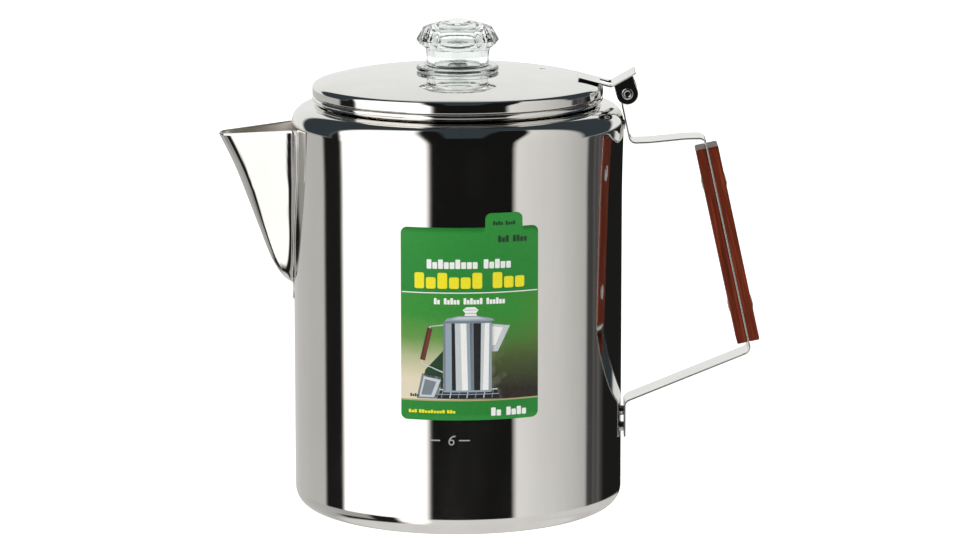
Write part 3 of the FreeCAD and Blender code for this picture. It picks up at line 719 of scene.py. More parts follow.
class Artwork:
    """Flat shapes in (along, up) millimetres, bent round the wall at a small height."""

    def __init__(self, start, bottom, base_height, layer_height):
        self.start = start
        self.bottom = bottom
        self.base = base_height
        self.layer = layer_height
        self.parts = []

    def polygon(self, points, colour, layer=1):
        """Flat shape with any outline."""
        self.parts.append((points, colour, layer))

    def bar(self, left, low, right, high, colour, layer=1, corner=None):
        """Bar with rounded ends."""
        radius = min((high - low) / 2, (right - left) / 2, corner if corner is not None else 99)
        points = []
        corners = ((right, low, -90), (right, high, 0), (left, high, 90), (left, low, 180))
        for x, y, angle in corners:
            middle = Vector((x + math.copysign(radius, left - x + 1e-9 if x > left else 1),
                             y + math.copysign(radius, 1 if y == low else -1)))
            for step in range(4):
                turn = math.radians(angle + 30 * step)
                points.append(middle + radius * Vector((math.cos(turn), math.sin(turn))))
        self.polygon(points, colour, layer)

    def words(self, left, low, right, high, colour, lengths, layer=1):
        """A line of dummy words: upright blank blocks of varied height in place of letters."""
        gap = 0.55 * (high - low)
        share = (right - left - gap * (len(lengths) - 1)) / sum(lengths)
        x = left
        count = 0
        for length in lengths:
            for letter in range(length):
                tall = letter == 0 or (count * 5 + letter * 3) % 7 in (2, 5)
                top = high if tall else low + 0.72 * (high - low)
                self.bar(x + 0.08 * share, low, x + 0.92 * share, top, colour, layer, 0.16 * share)
                x += share
                count += 1
            x += gap

    def stroke(self, points, width, colour, layer=1):
        """Line of constant width through points."""
        path = [Vector(point) for point in points]
        left, right = [], []
        for index, here in enumerate(path):
            ahead = path[min(index + 1, len(path) - 1)]
            along = (ahead - path[max(index - 1, 0)]).normalized()
            side = Vector((-along.y, along.x)) * width / 2
            left.append(here + side)
            right.append(here - side)
        for index in range(len(path) - 1):
            corners = [left[index], right[index], right[index + 1], left[index + 1]]
            self.polygon(corners, colour, layer)

    def build(self, name, materials):
        """One piece with every shape, cut into narrow columns and bent round the wall."""
        builder = bmesh.new()
        for points, colour, layer in self.parts:
            part = bmesh.new()
            part.faces.new([part.verts.new((point[0], point[1], 0)) for point in points])
            low = min(point[0] for point in points)
            high = max(point[0] for point in points)
            cut = math.ceil(low / FLAT_STEP) * FLAT_STEP
            while cut < high:
                geometry = part.verts[:] + part.edges[:] + part.faces[:]
                bmesh.ops.bisect_plane(
                    part, geom=geometry, plane_co=(cut, 0, 0), plane_no=(1, 0, 0))
                cut += FLAT_STEP
            radius = WALL_RADIUS + self.base + self.layer * layer
            for vertex in part.verts:
                angle = (vertex.co.x + self.start) / WALL_RADIUS
                height = vertex.co.y + self.bottom
                vertex.co = (radius * math.sin(angle), -radius * math.cos(angle), height)
            part.normal_update()
            for face in part.faces:
                face.material_index = colour
                outward = face.calc_center_median()
                if face.normal.x * outward.x + face.normal.y * outward.y < 0:
                    face.normal_flip()
            bmesh.ops.scale(part, vec=(MM, MM, MM), verts=part.verts)
            mesh = new_mesh("part", part)
            builder.from_mesh(mesh)
            bpy.data.meshes.remove(mesh)
        mesh = new_mesh(name, builder)
        piece = make_object(name, mesh, materials[0], "pot")
        for material in materials[1:]:
            mesh.materials.append(material)


def make_label_print():
    """Blank word shapes, rules and the little pictogram of a pot on a camping stove."""
    art = Artwork(arc_length(LABEL_LOW.x), LABEL_LOW.z, LABEL_THICKNESS, 0.012)
    art.words(44.0, 93.4, 55.0, 95.4, DARK_GREEN, (4, 4))
    art.words(46.4, 85.2, 61.0, 88.4, DARK_GREEN, (3, 4))
    art.words(12.5, 72.9, 53.0, 77.4, WHITE, (9, 5))
    art.words(6.4, 63.4, 60.0, 71.0, YELLOW, (6, 3))
    art.bar(0.6, 61.1, 66.4, 61.6, WHITE, corner=0.1)
    art.words(16.0, 55.9, 50.0, 58.9, WHITE, (2, 5, 6, 6))
    art.bar(0.0, 9.3, 67.0, 10.0, GOLD, corner=0.1)
    art.words(3.7, 3.4, 26.3, 5.0, YELLOW, (3, 9, 3))
    art.words(43.0, 1.9, 60.8, 5.9, WHITE, (2, 4))
    art.words(4.5, 11.2, 18.0, 12.7, DARK_GREEN, (4, 2, 5))
    # stove: side plates, grate and burner
    art.polygon([(17.5, 10.4), (47.5, 10.4), (45.5, 15.6), (19.5, 15.6)], BLACK)
    art.polygon([(7.7, 10.4), (17.5, 10.4), (21.5, 20.4), (10.4, 22.6)], MID_GREY)
    art.polygon([(8.9, 11.2), (16.2, 11.2), (19.4, 19.6), (11.2, 21.2)], LIGHT_GREY, 2)
    art.polygon([(10.0, 12.2), (14.8, 12.2), (17.2, 18.6), (11.8, 19.8)], MID_GREY, 3)
    for step in range(7):
        x = 19.6 + 4.0 * step
        art.stroke([(x, 10.8), (x + 0.8, 15.3)], 0.5, LIGHT_GREY if step % 2 else MID_GREY, 2)
    art.stroke([(18.6, 14.9), (46.3, 14.9)], 0.6, LIGHT_GREY, 3)
    art.stroke([(18.2, 12.6), (46.9, 12.6)], 0.4, BLUE_GREY, 3)
    # pot: body with its mirrored stripes
    stripes = [
        (20.5, 0.0, MID_GREY), (21.6, 0.0, BLUE_GREY), (24.4, 0.2, BLACK), (26.0, 0.5, LIGHT_GREY),
        (28.6, 0.8, WHITE), (31.4, 0.8, BLUE_GREY), (33.0, 0.6, MID_GREY), (34.8, 0.3, BLACK),
        (38.4, -0.4, LIGHT_GREY), (40.2, -1.0, WHITE), (42.4, -0.5, BLUE_GREY), (43.5, 0.0, None),
    ]
    for (left, lean, colour), (right, next_lean, _) in zip(stripes, stripes[1:]):
        foot = [(left + lean, 14.2), (right + next_lean, 14.2)]
        art.polygon(foot + [(right, 47.2), (left, 47.2)], colour, 4)
    art.polygon([(20.7, 13.6), (43.3, 13.6), (43.5, 14.5), (20.5, 14.5)], BLUE_GREY, 5)
    art.polygon([(20.5, 46.8), (43.5, 46.8), (43.1, 47.9), (20.9, 47.9)], MID_GREY, 5)
    art.polygon([(21.2, 47.9), (45.0, 47.9), (43.4, 49.1), (37.0, 50.3), (27.6, 50.3),
                 (22.3, 49.1)], BLUE_GREY, 6)
    art.polygon([(24.2, 48.7), (41.0, 48.7), (36.6, 49.9), (28.0, 49.9)], LIGHT_GREY, 7)
    art.polygon([(30.4, 50.4), (36.5, 50.4), (35.9, 51.6), (37.2, 53.2), (35.4, 54.6), (31.5, 54.6),
                 (29.7, 53.2), (31.0, 51.6)], WHITE, 7)
    art.stroke([(31.2, 51.6), (35.7, 51.6)], 0.35, BLUE_GREY, 8)
    art.stroke([(30.4, 53.2), (36.6, 53.2)], 0.3, BLUE_GREY, 8)
    # spout and handle
    art.polygon([(43.5, 33.0), (46.4, 33.0), (52.4, 45.2), (43.5, 46.4)], LIGHT_GREY, 4)
    art.polygon([(43.5, 36.0), (45.2, 36.0), (49.0, 44.4), (43.5, 45.2)], WHITE, 5)
    art.stroke([(20.6, 46.0), (14.3, 45.2), (10.0, 27.6), (20.4, 23.2)], 0.6, LIGHT_GREY, 3)
    art.stroke([(14.2, 44.4), (10.6, 29.0)], 2.5, BROWN, 6)
    art.stroke([(13.5, 44.3), (9.95, 29.2)], 0.4, BLACK, 7)
    art.polygon([(12.0, 24.4), (20.4, 33.5), (20.4, 15.0), (11.4, 22.0)], DARK_GREEN, 1)
    art.build("label_print", INKS)


MARK_HEIGHT = 47.2
MARK_WIDTH = 0.55
DASH_HEIGHT = 0.4
FIGURE_MIDDLE = Vector((-2.6, -0.5))
FIGURE_RING = 1.15
FIGURE_TAIL_RADIUS = 3.05


def make_cup_mark():
    """Etched cup-level mark: a figure between two dashes."""
    art = Artwork(0.0, MARK_HEIGHT, 0.0, 0.02)
    for left, right in ((-12.8, -8.0), (1.0, 6.2)):
        art.stroke([(left, DASH_HEIGHT), (right, DASH_HEIGHT)], MARK_WIDTH, 0)
    ring = []
    for step in range(22):
        turn = 0.3 * step
        ring.append(FIGURE_MIDDLE + FIGURE_RING * Vector((math.cos(turn), math.sin(turn))))
    tail = []
    tail_left = FIGURE_MIDDLE.x + 1.9 - FIGURE_TAIL_RADIUS
    for step in range(11):
        angle = math.radians(180 - 9 * step)
        x = tail_left + FIGURE_TAIL_RADIUS * (1 + math.cos(angle))
        tail.append((x, FIGURE_MIDDLE.y + 3.0 * math.sin(angle)))
    art.stroke(ring, MARK_WIDTH, 0)
    art.stroke(tail, MARK_WIDTH, 0)
    art.build("cup_mark", [ETCH])


# ======== Spout
SPOUT_SHEET = 0.7
SPOUT_LIP_AT_WALL = 186.5
SPOUT_LIP_FALL = 3.5
SPOUT_FILLET = 3.2
SPOUT_NOSE = 8.0
# Height, distance of the ridge from the axis, half width of the V where it leaves the wall
SPOUT_PROFILE = [
    (100.0, 76.0, 0.8), (106.5, 77.0, 2.0), (109.0, 80.5, 3.0), (111.0, 83.9, 3.9),
    (114.6, 87.2, 5.0), (121.6, 91.2, 6.2), (136.2, 96.8, 8.2), (150.7, 102.2, 11.6),
    (167.0, 108.5, 15.2), (183.0, 116.3, 17.6), (190.0, 120.4, 18.4),
]
# Height, half width of the flange on the wall
FLANGE_PROFILE = [
    (101.0, 1.2), (112.0, 4.6), (125.0, 8.5), (144.0, 15.0), (162.5, 21.0), (176.0, 23.2),
    (188.0, 24.2),
]
SPOUT_ROWS = 72
SPOUT_COLUMNS = 96


def interpolate(table, value, column):
    """Smooth curve through a table's column, by cubic Hermite spans."""
    index = max(i for i in range(len(table) - 1) if i == 0 or table[i][0] <= value)
    index = min(index, len(table) - 2)

    def slope(at):
        low, high = table[max(at - 1, 0)], table[min(at + 1, len(table) - 1)]
        return (high[column] - low[column]) / (high[0] - low[0])

    start, end = table[index], table[index + 1]
    span = end[0] - start[0]
    t = (value - start[0]) / span
    return (
        (2 * t ** 3 - 3 * t ** 2 + 1) * start[column]
        + (t ** 3 - 2 * t ** 2 + t) * span * slope(index)
        + (3 * t ** 2 - 2 * t ** 3) * end[column]
        + (t ** 3 - t ** 2) * span * slope(index + 1)
    )


def spout_half_width(height):
    """Half width of the spout's channel at the wall."""
    return interpolate(SPOUT_PROFILE, height, 2)


def soft_max(first, second, blend):
    """Larger of two values, with a rounded change-over."""
    overlap = max(blend - abs(first - second), 0) / blend
    return max(first, second) + overlap * overlap * blend / 4


def spout_reach(across, height):
    """Distance of the spout's outer face from the plane through the pot's axis."""
    wall = math.sqrt((wall_radius(height) + SPOUT_SHEET) ** 2 - across ** 2)
    ridge = interpolate(SPOUT_PROFILE, height, 1)
    half = interpolate(SPOUT_PROFILE, height, 2)
    foot = math.sqrt(wall_radius(height) ** 2 - half ** 2)
    nose = min(SPOUT_NOSE, 0.62 * half)
    lean = math.pi / 4
    for _ in range(8):
        apex = ridge + nose * (1 / math.sin(lean) - 1)
        lean = math.atan2(half, max(apex - foot, 0.5))
    if abs(across) < nose * math.cos(lean):
        crease = ridge - nose + math.sqrt(nose ** 2 - across ** 2)
    else:
        crease = apex - abs(across) / math.tan(lean)
    return soft_max(wall, crease, min(SPOUT_FILLET, 0.8 * max(ridge - foot, 0.5)))


def make_spout():
    """Pressed V spout that blends through a soft fillet into the flange on the wall."""
    builder = bmesh.new()
    low = FLANGE_PROFILE[0][0]
    lip_reach = interpolate(SPOUT_PROFILE, SPOUT_LIP_AT_WALL - SPOUT_LIP_FALL, 1)
    fall = SPOUT_LIP_FALL / (lip_reach - WALL_RADIUS)
    grid = []
    for row in range(SPOUT_ROWS + 1):
        share = row / SPOUT_ROWS
        base = low + (SPOUT_LIP_AT_WALL - low) * share
        line = []
        for column in range(SPOUT_COLUMNS + 1):
            place = 2 * column / SPOUT_COLUMNS - 1
            across = interpolate(FLANGE_PROFILE, base, 1) * place
            height = base
            for _ in range(4):
                drop = fall * share * max(spout_reach(across, height) - WALL_RADIUS, 0)
                height = base - drop
            line.append(builder.verts.new((-spout_reach(across, height), across, height)))
        grid.append(line)
    for lower, upper in zip(grid, grid[1:]):
        for column in range(SPOUT_COLUMNS):
            after = column + 1
            builder.faces.new((lower[column], upper[column], upper[after], lower[after]))
    bmesh.ops.scale(builder, vec=(MM, MM, MM), verts=builder.verts)
    mesh = new_mesh("spout_sheet", builder)
    spout = make_object("spout_sheet", mesh, STEEL, "pot")
    sheet = spout.modifiers.new("sheet", "SOLIDIFY")
    sheet.thickness = (SPOUT_SHEET - 0.05) * MM
    sheet.offset = -1
    mesh.materials.append(SHEET)
    sheet.material_offset = 1
    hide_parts("spout")


# ======== Handle
STRAP_SHEET = 0.9
STRAP_EDGE = 0.36
PIN_RADIUS = 2.0
PIN_CLEARANCE = 0.05
PIN_BORE_RADIUS = 1.25
PIN_ROLL_RADIUS = 2.75
PIN_ROLL_HEIGHT = 0.7
GRIP_TOP = Vector((119.7, 181.4))
GRIP_BOTTOM = Vector((143.0, 76.1))
GRIP_LENGTH = 98.0
GRIP_THICKNESS = 5.1
GRIP_WIDTH = 18.5
GRIP_EDGE = 0.7
RIVET_OFFSET = 31.0
RIVET_HEAD_RADIUS = 4.2
RIVET_HEAD_HEIGHT = 1.2
RIVET_SINK = 0.6
RIVET_SHANK_RADIUS = 2.2
STRAP_BEND = 3.4
STRAP_TAB_X = 81.7
WELD_HEIGHTS = (37.0, 45.0, 187.0)
WELD_INNER_X = 79.6
WELD_OUTER_X = 81.3


def make_strap():
    """Bent strap with the curled hinge eye at its top."""
    half = STRAP_SHEET / 2
    eye = PIN_RADIUS + PIN_CLEARANCE + half
    left, right = HINGE.x - eye, HINGE.x + eye
    low, high = HINGE.z - eye, HINGE.z + eye
    centre_line = [
        (left + half + CURL_GAP, low),
        (right, low, eye - 0.001),
        (right, high, eye - 0.001),
        (left, high, eye - 0.001),
        (left, 198.6, 16),
        (83.7, 179.0, STRAP_BEND),
        (93.5, 179.4, 60),
        (110.0, 181.1, 60),
        (GRIP_TOP.x, GRIP_TOP.y, STRAP_BEND),
        (GRIP_BOTTOM.x, GRIP_BOTTOM.y, STRAP_BEND),
        (STRAP_TAB_X, 50.9, STRAP_BEND),
        (STRAP_TAB_X, 33.4),
    ]
    width = box_mm("handle_strap")[1].y * 2
    mesh = strip_mesh(centre_line, STRAP_SHEET, width, STRAP_EDGE)
    strap = make_object("strap", mesh, STEEL, "pot")
    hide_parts("handle_strap")


def make_welds():
    """Spot-weld nuggets between the wall and the strap."""
    outline = rounded([
        (0, WELD_INNER_X),
        (2.9, WELD_INNER_X),
        (2.4, 80.8, 0.4),
        (2.4, WELD_OUTER_X),
        (0, WELD_OUTER_X),
    ])
    for index, height in enumerate(WELD_HEIGHTS):
        mesh = lathe_mesh(outline, 40)
        for vertex in mesh.vertices:
            x, y, z = vertex.co / MM
            vertex.co = (z * MM, y * MM, (height + x) * MM)
        weld = make_object("weld_" + str(index + 1), mesh, RIVET, "pot")


def grip_frame():
    """Middle of the grip run, unit vector down it and unit vector outwards."""
    down = (GRIP_BOTTOM - GRIP_TOP).normalized()
    middle = (GRIP_BOTTOM + GRIP_TOP) / 2
    return middle, down, Vector((-down.y, down.x))


def tilted_along_grip(point):
    """Turns (outwards, across, up the grip) into the pot's x, y, z, about the grip run's middle."""
    middle, down, outward = grip_frame()
    flat = middle + outward * point[0] - down * point[2]
    return (flat.x * MM, point[1] * MM, flat.y * MM)


def make_rivets():
    """Rivet heads with a softly domed face and a dimple, sunk in the slabs."""
    face = STRAP_SHEET / 2 + GRIP_THICKNESS - RIVET_SINK
    top = face + RIVET_HEAD_HEIGHT
    head = RIVET_HEAD_RADIUS - 0.1
    outline = rounded(mirrored([
        (0, -top + 0.35),
        (1.0, -top + 0.25, 0.6),
        (1.5, -top, 0.8),
        (head, -top + 0.55, 0.7),
        (head, -face + 0.02, 0.15),
        (RIVET_SHANK_RADIUS, -face + 0.02),
    ]), steps=5)
    rivets = (("rivet_high", "grip_rivet_upper", 1), ("rivet_low", "grip_rivet_lower", -1))
    for name, node, side in rivets:
        mesh = lathe_mesh(outline, 48)
        for vertex in mesh.vertices:
            x, y, z = vertex.co / MM
            vertex.co = tilted_along_grip((z, y, side * RIVET_OFFSET - x))
        rivet = make_object(name, mesh, RIVET, "pot")
        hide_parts(node)


def make_grip(name, node, side):
    """Wood slab with softened edges on one face of the strap, bored and sunk for the rivets."""
    builder = bmesh.new()
    bmesh.ops.create_cube(builder, size=1.0)
    size = (GRIP_THICKNESS, GRIP_WIDTH, GRIP_LENGTH)
    bmesh.ops.scale(builder, vec=size, verts=builder.verts)
    bmesh.ops.bevel(
        builder, geom=builder.edges[:], offset=GRIP_EDGE, segments=4, profile=0.5, affect="EDGES")
    offset = side * (STRAP_SHEET + GRIP_THICKNESS) / 2
    for vertex in builder.verts:
        depth, across, along = vertex.co
        vertex.co = Vector(tilted_along_grip((depth + offset, across, along))) / MM
    grip = make_object(name, mesh_from(builder), WOOD, "pot")
    outward = grip_frame()[2]
    direction = Vector((outward.x, 0, outward.y)) * side
    sink = side * (STRAP_SHEET / 2 + GRIP_THICKNESS - RIVET_SINK)
    cutters = []
    for along in (RIVET_OFFSET, -RIVET_OFFSET):
        floor = Vector(tilted_along_grip((sink, 0, along))) / MM
        radius = RIVET_HEAD_RADIUS + 0.1
        cutters.append(rod_mesh(floor, direction, radius, GRIP_THICKNESS, 48))
    cut_away(grip, cutters)
    even_normals(grip)
    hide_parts(node)


# ======== Lid
LID_SHEET = 0.6
LID_RADIUS = 70.5
LID_BOTTOM = box_mm("lid_shell")[0].z
LID_APEX = box_mm("lid_shell")[1].z
DOME_DROP = 5.7
DOME_RADIUS = 69.0
DOME_POWER = 4
RIM_CORNER = 2.6
VENT = Vector((41.0, 12.0))
VENT_RADIUS = 1.25
KNOB_HOLE_RADIUS = 13.75
NOTCH_RADIUS = 17.2
NOTCH_HALF_WIDTH = 4.8
PLUG_RADIUS = 66.0
PLUG_BOTTOM = 194.0
LID_FOOT_ROUND = 0.18
DOME_STEPS = 26
NOTCH_FADE = 7.0


def dome_height(radius):
    """Height of the lid's outer surface."""
    return LID_APEX - DOME_DROP * (radius / DOME_RADIUS) ** DOME_POWER


def dome_slope(radius):
    """Slope of the lid's outer surface, falling outwards."""
    return -DOME_DROP * DOME_POWER * radius ** 3 / DOME_RADIUS ** DOME_POWER


def lid_profile(inset):
    """Lid surface from near the centre hole to the foot of the rim, moved in by the inset."""
    corner = RIM_CORNER - inset
    rim = LID_RADIUS - inset
    tilt = math.atan(-dome_slope(LID_RADIUS - RIM_CORNER))
    join = rim - corner * (1 - math.sin(tilt))
    points = []
    for step in range(DOME_STEPS + 1):
        radius = KNOB_HOLE_RADIUS + (join - KNOB_HOLE_RADIUS) * step / DOME_STEPS
        points.append(Vector((radius, dome_height(radius) - inset)))
    centre = Vector((rim - corner, points[-1].y - corner * math.cos(tilt)))
    start = math.pi / 2 - tilt
    for step in range(1, ARC_STEPS + 1):
        angle = start * (1 - step / ARC_STEPS)
        points.append(centre + corner * Vector((math.cos(angle), math.sin(angle))))
    points.append(Vector((rim, centre.y - SUPPORT)))
    points.append(Vector((rim, LID_BOTTOM + SUPPORT)))
    return points


def keyed_hole(radius, height, angle):
    """Opens the round hole into the two bayonet notches, fading out over the dome near it."""
    fade = min(max((radius - KNOB_HOLE_RADIUS) / NOTCH_FADE, 0.0), 1.0)
    across = abs(math.cos(angle))
    depth = abs(math.sin(angle))
    notch = min(NOTCH_RADIUS / max(depth, 0.01), NOTCH_HALF_WIDTH / max(across, 0.01))
    return radius + (max(KNOB_HOLE_RADIUS, notch) - KNOB_HOLE_RADIUS) * (1 - fade)


def make_lid():
    """Domed lid with a turned rim, a keyed hole for the knob and a steam vent."""
    outer = lid_profile(0)
    inner = lid_profile(LID_SHEET)
    foot = [
        Vector((LID_RADIUS, LID_BOTTOM + LID_FOOT_ROUND)),
        Vector((LID_RADIUS - LID_FOOT_ROUND, LID_BOTTOM)),
        Vector((LID_RADIUS - LID_SHEET + LID_FOOT_ROUND, LID_BOTTOM)),
        Vector((LID_RADIUS - LID_SHEET, LID_BOTTOM + LID_FOOT_ROUND)),
    ]
    mesh = lathe_mesh(outer + foot + inner[::-1], 288, keyed_hole)
    lid = make_object("lid_dome", mesh, STEEL, "lid")
    vent = (VENT.x, VENT.y, LID_BOTTOM)
    cut_away(lid, [rod_mesh(vent, (0, 0, 1), VENT_RADIUS, 20, 32)])
    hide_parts("lid_shell")


def make_plug_ring():
    """Skirt under the lid that plugs the neck."""
    half = LID_SHEET / 2
    outline = rounded(sheet_outline([
        (LID_RADIUS - LID_SHEET, LID_BOTTOM + half),
        (PLUG_RADIUS - half, LID_BOTTOM + half, 1.2),
        (PLUG_RADIUS - half, PLUG_BOTTOM + 1.2, 1.2),
        (PLUG_RADIUS - 2.4, PLUG_BOTTOM),
    ], LID_SHEET, round_start=False))
    ring = make_object("lid_skirt", lathe_mesh(outline), SATIN, "lid")
    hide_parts("lid_plug_ring")


CLIP_SHEET = 0.8
CLIP_EDGE = 0.34
LEAF_START_X = 58.2
LEAF_TANGENT = 64.0
VALLEY_X = 74.3
VALLEY_BEND = 1.6
TAB_END = Vector((85.9, 213.5))
EAR_RADIUS = 5.3
EAR_INNER_X = 75.3
EAR_OUTER_X = 84.2
EAR_STEPS = 28
SLOT_START_X = 69.0
SLOT_END_X = 74.6
SLOT_WIDTH = 10.0
SLOT_DEPTH = 14.0


def tangent_angle(point, side):
    """Angle, about the hinge, where the line from a point touches the ear's round end."""
    away = point - Vector((HINGE.x, HINGE.z))
    return math.atan2(away.y, away.x) + math.acos(EAR_RADIUS / away.length) * side


def make_hinge_clip():
    """Stamped clip: slotted leaf on the dome, valley bend, thumb tab and two ears."""
    low, high = box_mm("hinge_clip")
    width = high.y - low.y
    slope = dome_slope(LEAF_TANGENT)
    tangent_z = dome_height(LEAF_TANGENT) + CLIP_SHEET / 2 * math.sqrt(1 + slope * slope)
    valley = Vector((VALLEY_X, tangent_z + slope * (VALLEY_X - LEAF_TANGENT)))
    leaf_start = (LEAF_START_X, tangent_z + slope * (LEAF_START_X - LEAF_TANGENT))
    centre_line = [leaf_start, (valley.x, valley.y, VALLEY_BEND), tuple(TAB_END)]
    mesh = strip_mesh(centre_line, CLIP_SHEET, width, CLIP_EDGE)
    leaf = make_object("clip_leaf", mesh, STEEL, "lid")
    builder = bmesh.new()
    bmesh.ops.create_cube(builder, size=1.0)
    size = (SLOT_END_X - SLOT_START_X, SLOT_WIDTH, SLOT_DEPTH)
    bmesh.ops.scale(builder, vec=size, verts=builder.verts)
    middle = ((SLOT_START_X + SLOT_END_X) / 2, 0, valley.y)
    bmesh.ops.translate(builder, vec=middle, verts=builder.verts)
    cut_away(leaf, [mesh_from(builder)])
    even_normals(leaf)
    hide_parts("hinge_clip")
    rise = (TAB_END.y - valley.y) / (TAB_END.x - valley.x)
    inner = Vector((EAR_INNER_X, valley.y + rise * (EAR_INNER_X - valley.x)))
    outer = Vector((EAR_OUTER_X, valley.y + rise * (EAR_OUTER_X - valley.x)))
    first = tangent_angle(outer, -1)
    last = tangent_angle(inner, 1) - 2 * math.pi
    outline = [inner, outer]
    for step in range(EAR_STEPS + 1):
        angle = first + (last - first) * step / EAR_STEPS
        spoke = Vector((math.cos(angle), math.sin(angle)))
        outline.append(Vector((HINGE.x, HINGE.z)) + EAR_RADIUS * spoke)
    for name, side in (("clip_ear_front", -1), ("clip_ear_back", 1)):
        mesh = plate_mesh(outline, CLIP_SHEET, side * (width - CLIP_SHEET) / 2, CLIP_EDGE)
        ear = make_object(name, mesh, STEEL, "lid")
        even_normals(ear)


def make_hinge_pin():
    """Tubular pin with its ends rolled over."""
    end = box_mm("hinge_pin")[1].y
    outline = rounded(mirrored([
        (PIN_BORE_RADIUS, -end + 0.3, 0.25),
        (1.7, -end, 0.3),
        (PIN_ROLL_RADIUS, -end + 0.05, 0.35),
        (PIN_ROLL_RADIUS, -end + PIN_ROLL_HEIGHT, 0.2),
        (PIN_RADIUS - 0.02, -end + PIN_ROLL_HEIGHT),
    ]), steps=4)
    mesh = lathe_along_y(lathe_mesh(outline, 48), HINGE)
    pin = make_object("hinge_tube", mesh, RIVET, "lid")
    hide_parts("hinge_pin")


# ======== Glass knob
KNOB_SIDES = 12
KNOB_TOP = box_mm("glass_knob")[1].z
KNOB_HEAD_HEIGHT = 15.0
KNOB_FLANGE_RADIUS = 19.9
KNOB_SHANK_RADIUS = 13.4
KNOB_SEAT_GAP = 0.25
KNOB_CAVITY_RADIUS = 11.3
KNOB_CAVITY_DROP = 5.0
# Head, neck and top of the flange: radius, distance below the knob's top, corner radius
KNOB_HEAD = [
    (0.01, 0.0, 0), (3.0, 0.3, 1.6), (16.6, 4.0, 0.7), (20.2, 10.3, 0.8), (18.4, 12.7, 0.7),
    (15.6, 14.7, 0.7), (15.1, 18.0, 1.2), (15.0, 23.1, 1.4), (KNOB_FLANGE_RADIUS, 23.1, 0.8),
]
# Largest radius of the faceted outline against its sharp corners, which blunts them
FACET_CORNER = 0.994
# Where each facet is divided, closer together near its corners
FACET_SHARES = (0.0, 0.012, 0.03, 0.06, 0.2, 0.35, 0.5, 0.65, 0.8, 0.94, 0.97, 0.988)


def facet_share(angle):
    """Radius of a twelve-sided outline against its corner radius, with slightly rounded corners."""
    step = 2 * math.pi / KNOB_SIDES
    turn = (angle % step) - step / 2
    flat = math.cos(step / 2) / math.cos(turn)
    return min(flat, FACET_CORNER)


def knob_shape(radius, height, angle):
    """Faceted head above the neck; round neck, flange and shank below it."""
    if radius < KNOB_CAVITY_RADIUS + 0.9 and height < KNOB_TOP - KNOB_CAVITY_DROP + 1.0:
        return radius
    head = min(max((height - (KNOB_TOP - KNOB_HEAD_HEIGHT)) / 1.2, 0.0), 1.0)
    return radius * (1 - head * (1 - facet_share(angle)))


def make_knob():
    """Hollow pressed-glass knob: faceted head, round neck, flange, shank and cavity."""
    seat = LID_APEX + KNOB_SEAT_GAP
    low = box_mm("glass_knob")[0].z
    cavity_top = KNOB_TOP - KNOB_CAVITY_DROP
    outside = [(radius, KNOB_TOP - drop, corner) for radius, drop, corner in KNOB_HEAD]
    outline = rounded(outside + [
        (KNOB_FLANGE_RADIUS, seat, 0.8),
        (KNOB_SHANK_RADIUS, seat, 0.3),
        (KNOB_SHANK_RADIUS, low, 0.4),
        (KNOB_CAVITY_RADIUS, low, 0.4),
        (KNOB_CAVITY_RADIUS, cavity_top, 5.0),
        (0.01, cavity_top, 0),
    ], closed=False, steps=6)
    outline = [(point.x if point.x > 0.02 else 0.0, point.y) for point in outline]
    step = 2 * math.pi / KNOB_SIDES
    angles = [(side + share) * step for side in range(KNOB_SIDES) for share in FACET_SHARES]
    mesh = lathe_mesh(outline, shape=knob_shape, angles=angles)
    knob = make_object("knob_glass", mesh, GLASS, "knob")
    even_normals(knob)
    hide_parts("glass_knob")


INNER_NODES = (
    "pump_tube", "pump_foot", "basket_stop", "basket_shell", "basket_sleeve", "basket_cover",
)


def main():
    """Builds every piece, and gives the parts inside the pot their steel."""
    make_pot()
    make_spout()
    make_strap()
    make_welds()
    make_label()
    make_label_print()
    make_cup_mark()
    make_grip("grip_slab_inner", "grip_inner", -1)
    make_grip("grip_slab_outer", "grip_outer", 1)
    make_rivets()
    make_lid()
    make_plug_ring()
    make_hinge_clip()
    make_hinge_pin()
    make_knob()
    for node in INNER_NODES:
        mesh = frame["nodes"][node].data
        mesh.materials.clear()
        mesh.materials.append(SATIN)


# ======== Studio
# Brightness round the pot at bench height. Each row of these tables is a compass angle in degrees
# from the camera's side, positive towards the handle, and the brightness seen there.
PANELS = [
    (-180, 0.70), (-150, 0.56), (-108, 0.52), (-105, 0.012), (-89, 0.012), (-86, 1.4),
    (-22, 1.4), (-18, 0.008), (38, 0.008), (42, 0.80), (75, 0.64), (101, 0.48), (104, 0.06),
    (109, 0.05), (111, 0.10), (114, 0.06), (117, 0.11), (120, 0.06), (125, 0.012), (177, 0.012),
    (180, 0.70),
]
# The bench top in front of the pot, then close to it, then the floor under the bench
BENCH = [
    (-180, 0.60), (-108, 0.46), (-84, 0.40), (-69, 0.36), (-64, 0.014), (-46, 0.014),
    (-41, 1.3), (-22, 1.3), (-18, 0.74), (38, 0.74), (60, 0.7), (180, 0.60),
]
BENCH_NEAR = [
    (-180, 0.52), (-126, 0.46), (-112, 0.40), (-102, 0.012), (-48, 0.012), (-36, 1.3),
    (-27, 1.3), (-22, 0.74), (38, 0.74), (60, 0.7), (180, 0.52),
]
UNDERFOOT = [(-180, 0.72), (180, 0.72)]
# A grey of brightness 1 in the tables above
PANEL_TINT = (1, 0.98, 0.945)
# Elevations in degrees over which one table gives way to the next above it
TO_BENCH_NEAR = (-47, -41)
TO_BENCH = (-36, -32)
TO_PANELS = (-17, -15)
# How far the panels arch over the pot towards the back
PANEL_ARCH = 0.75
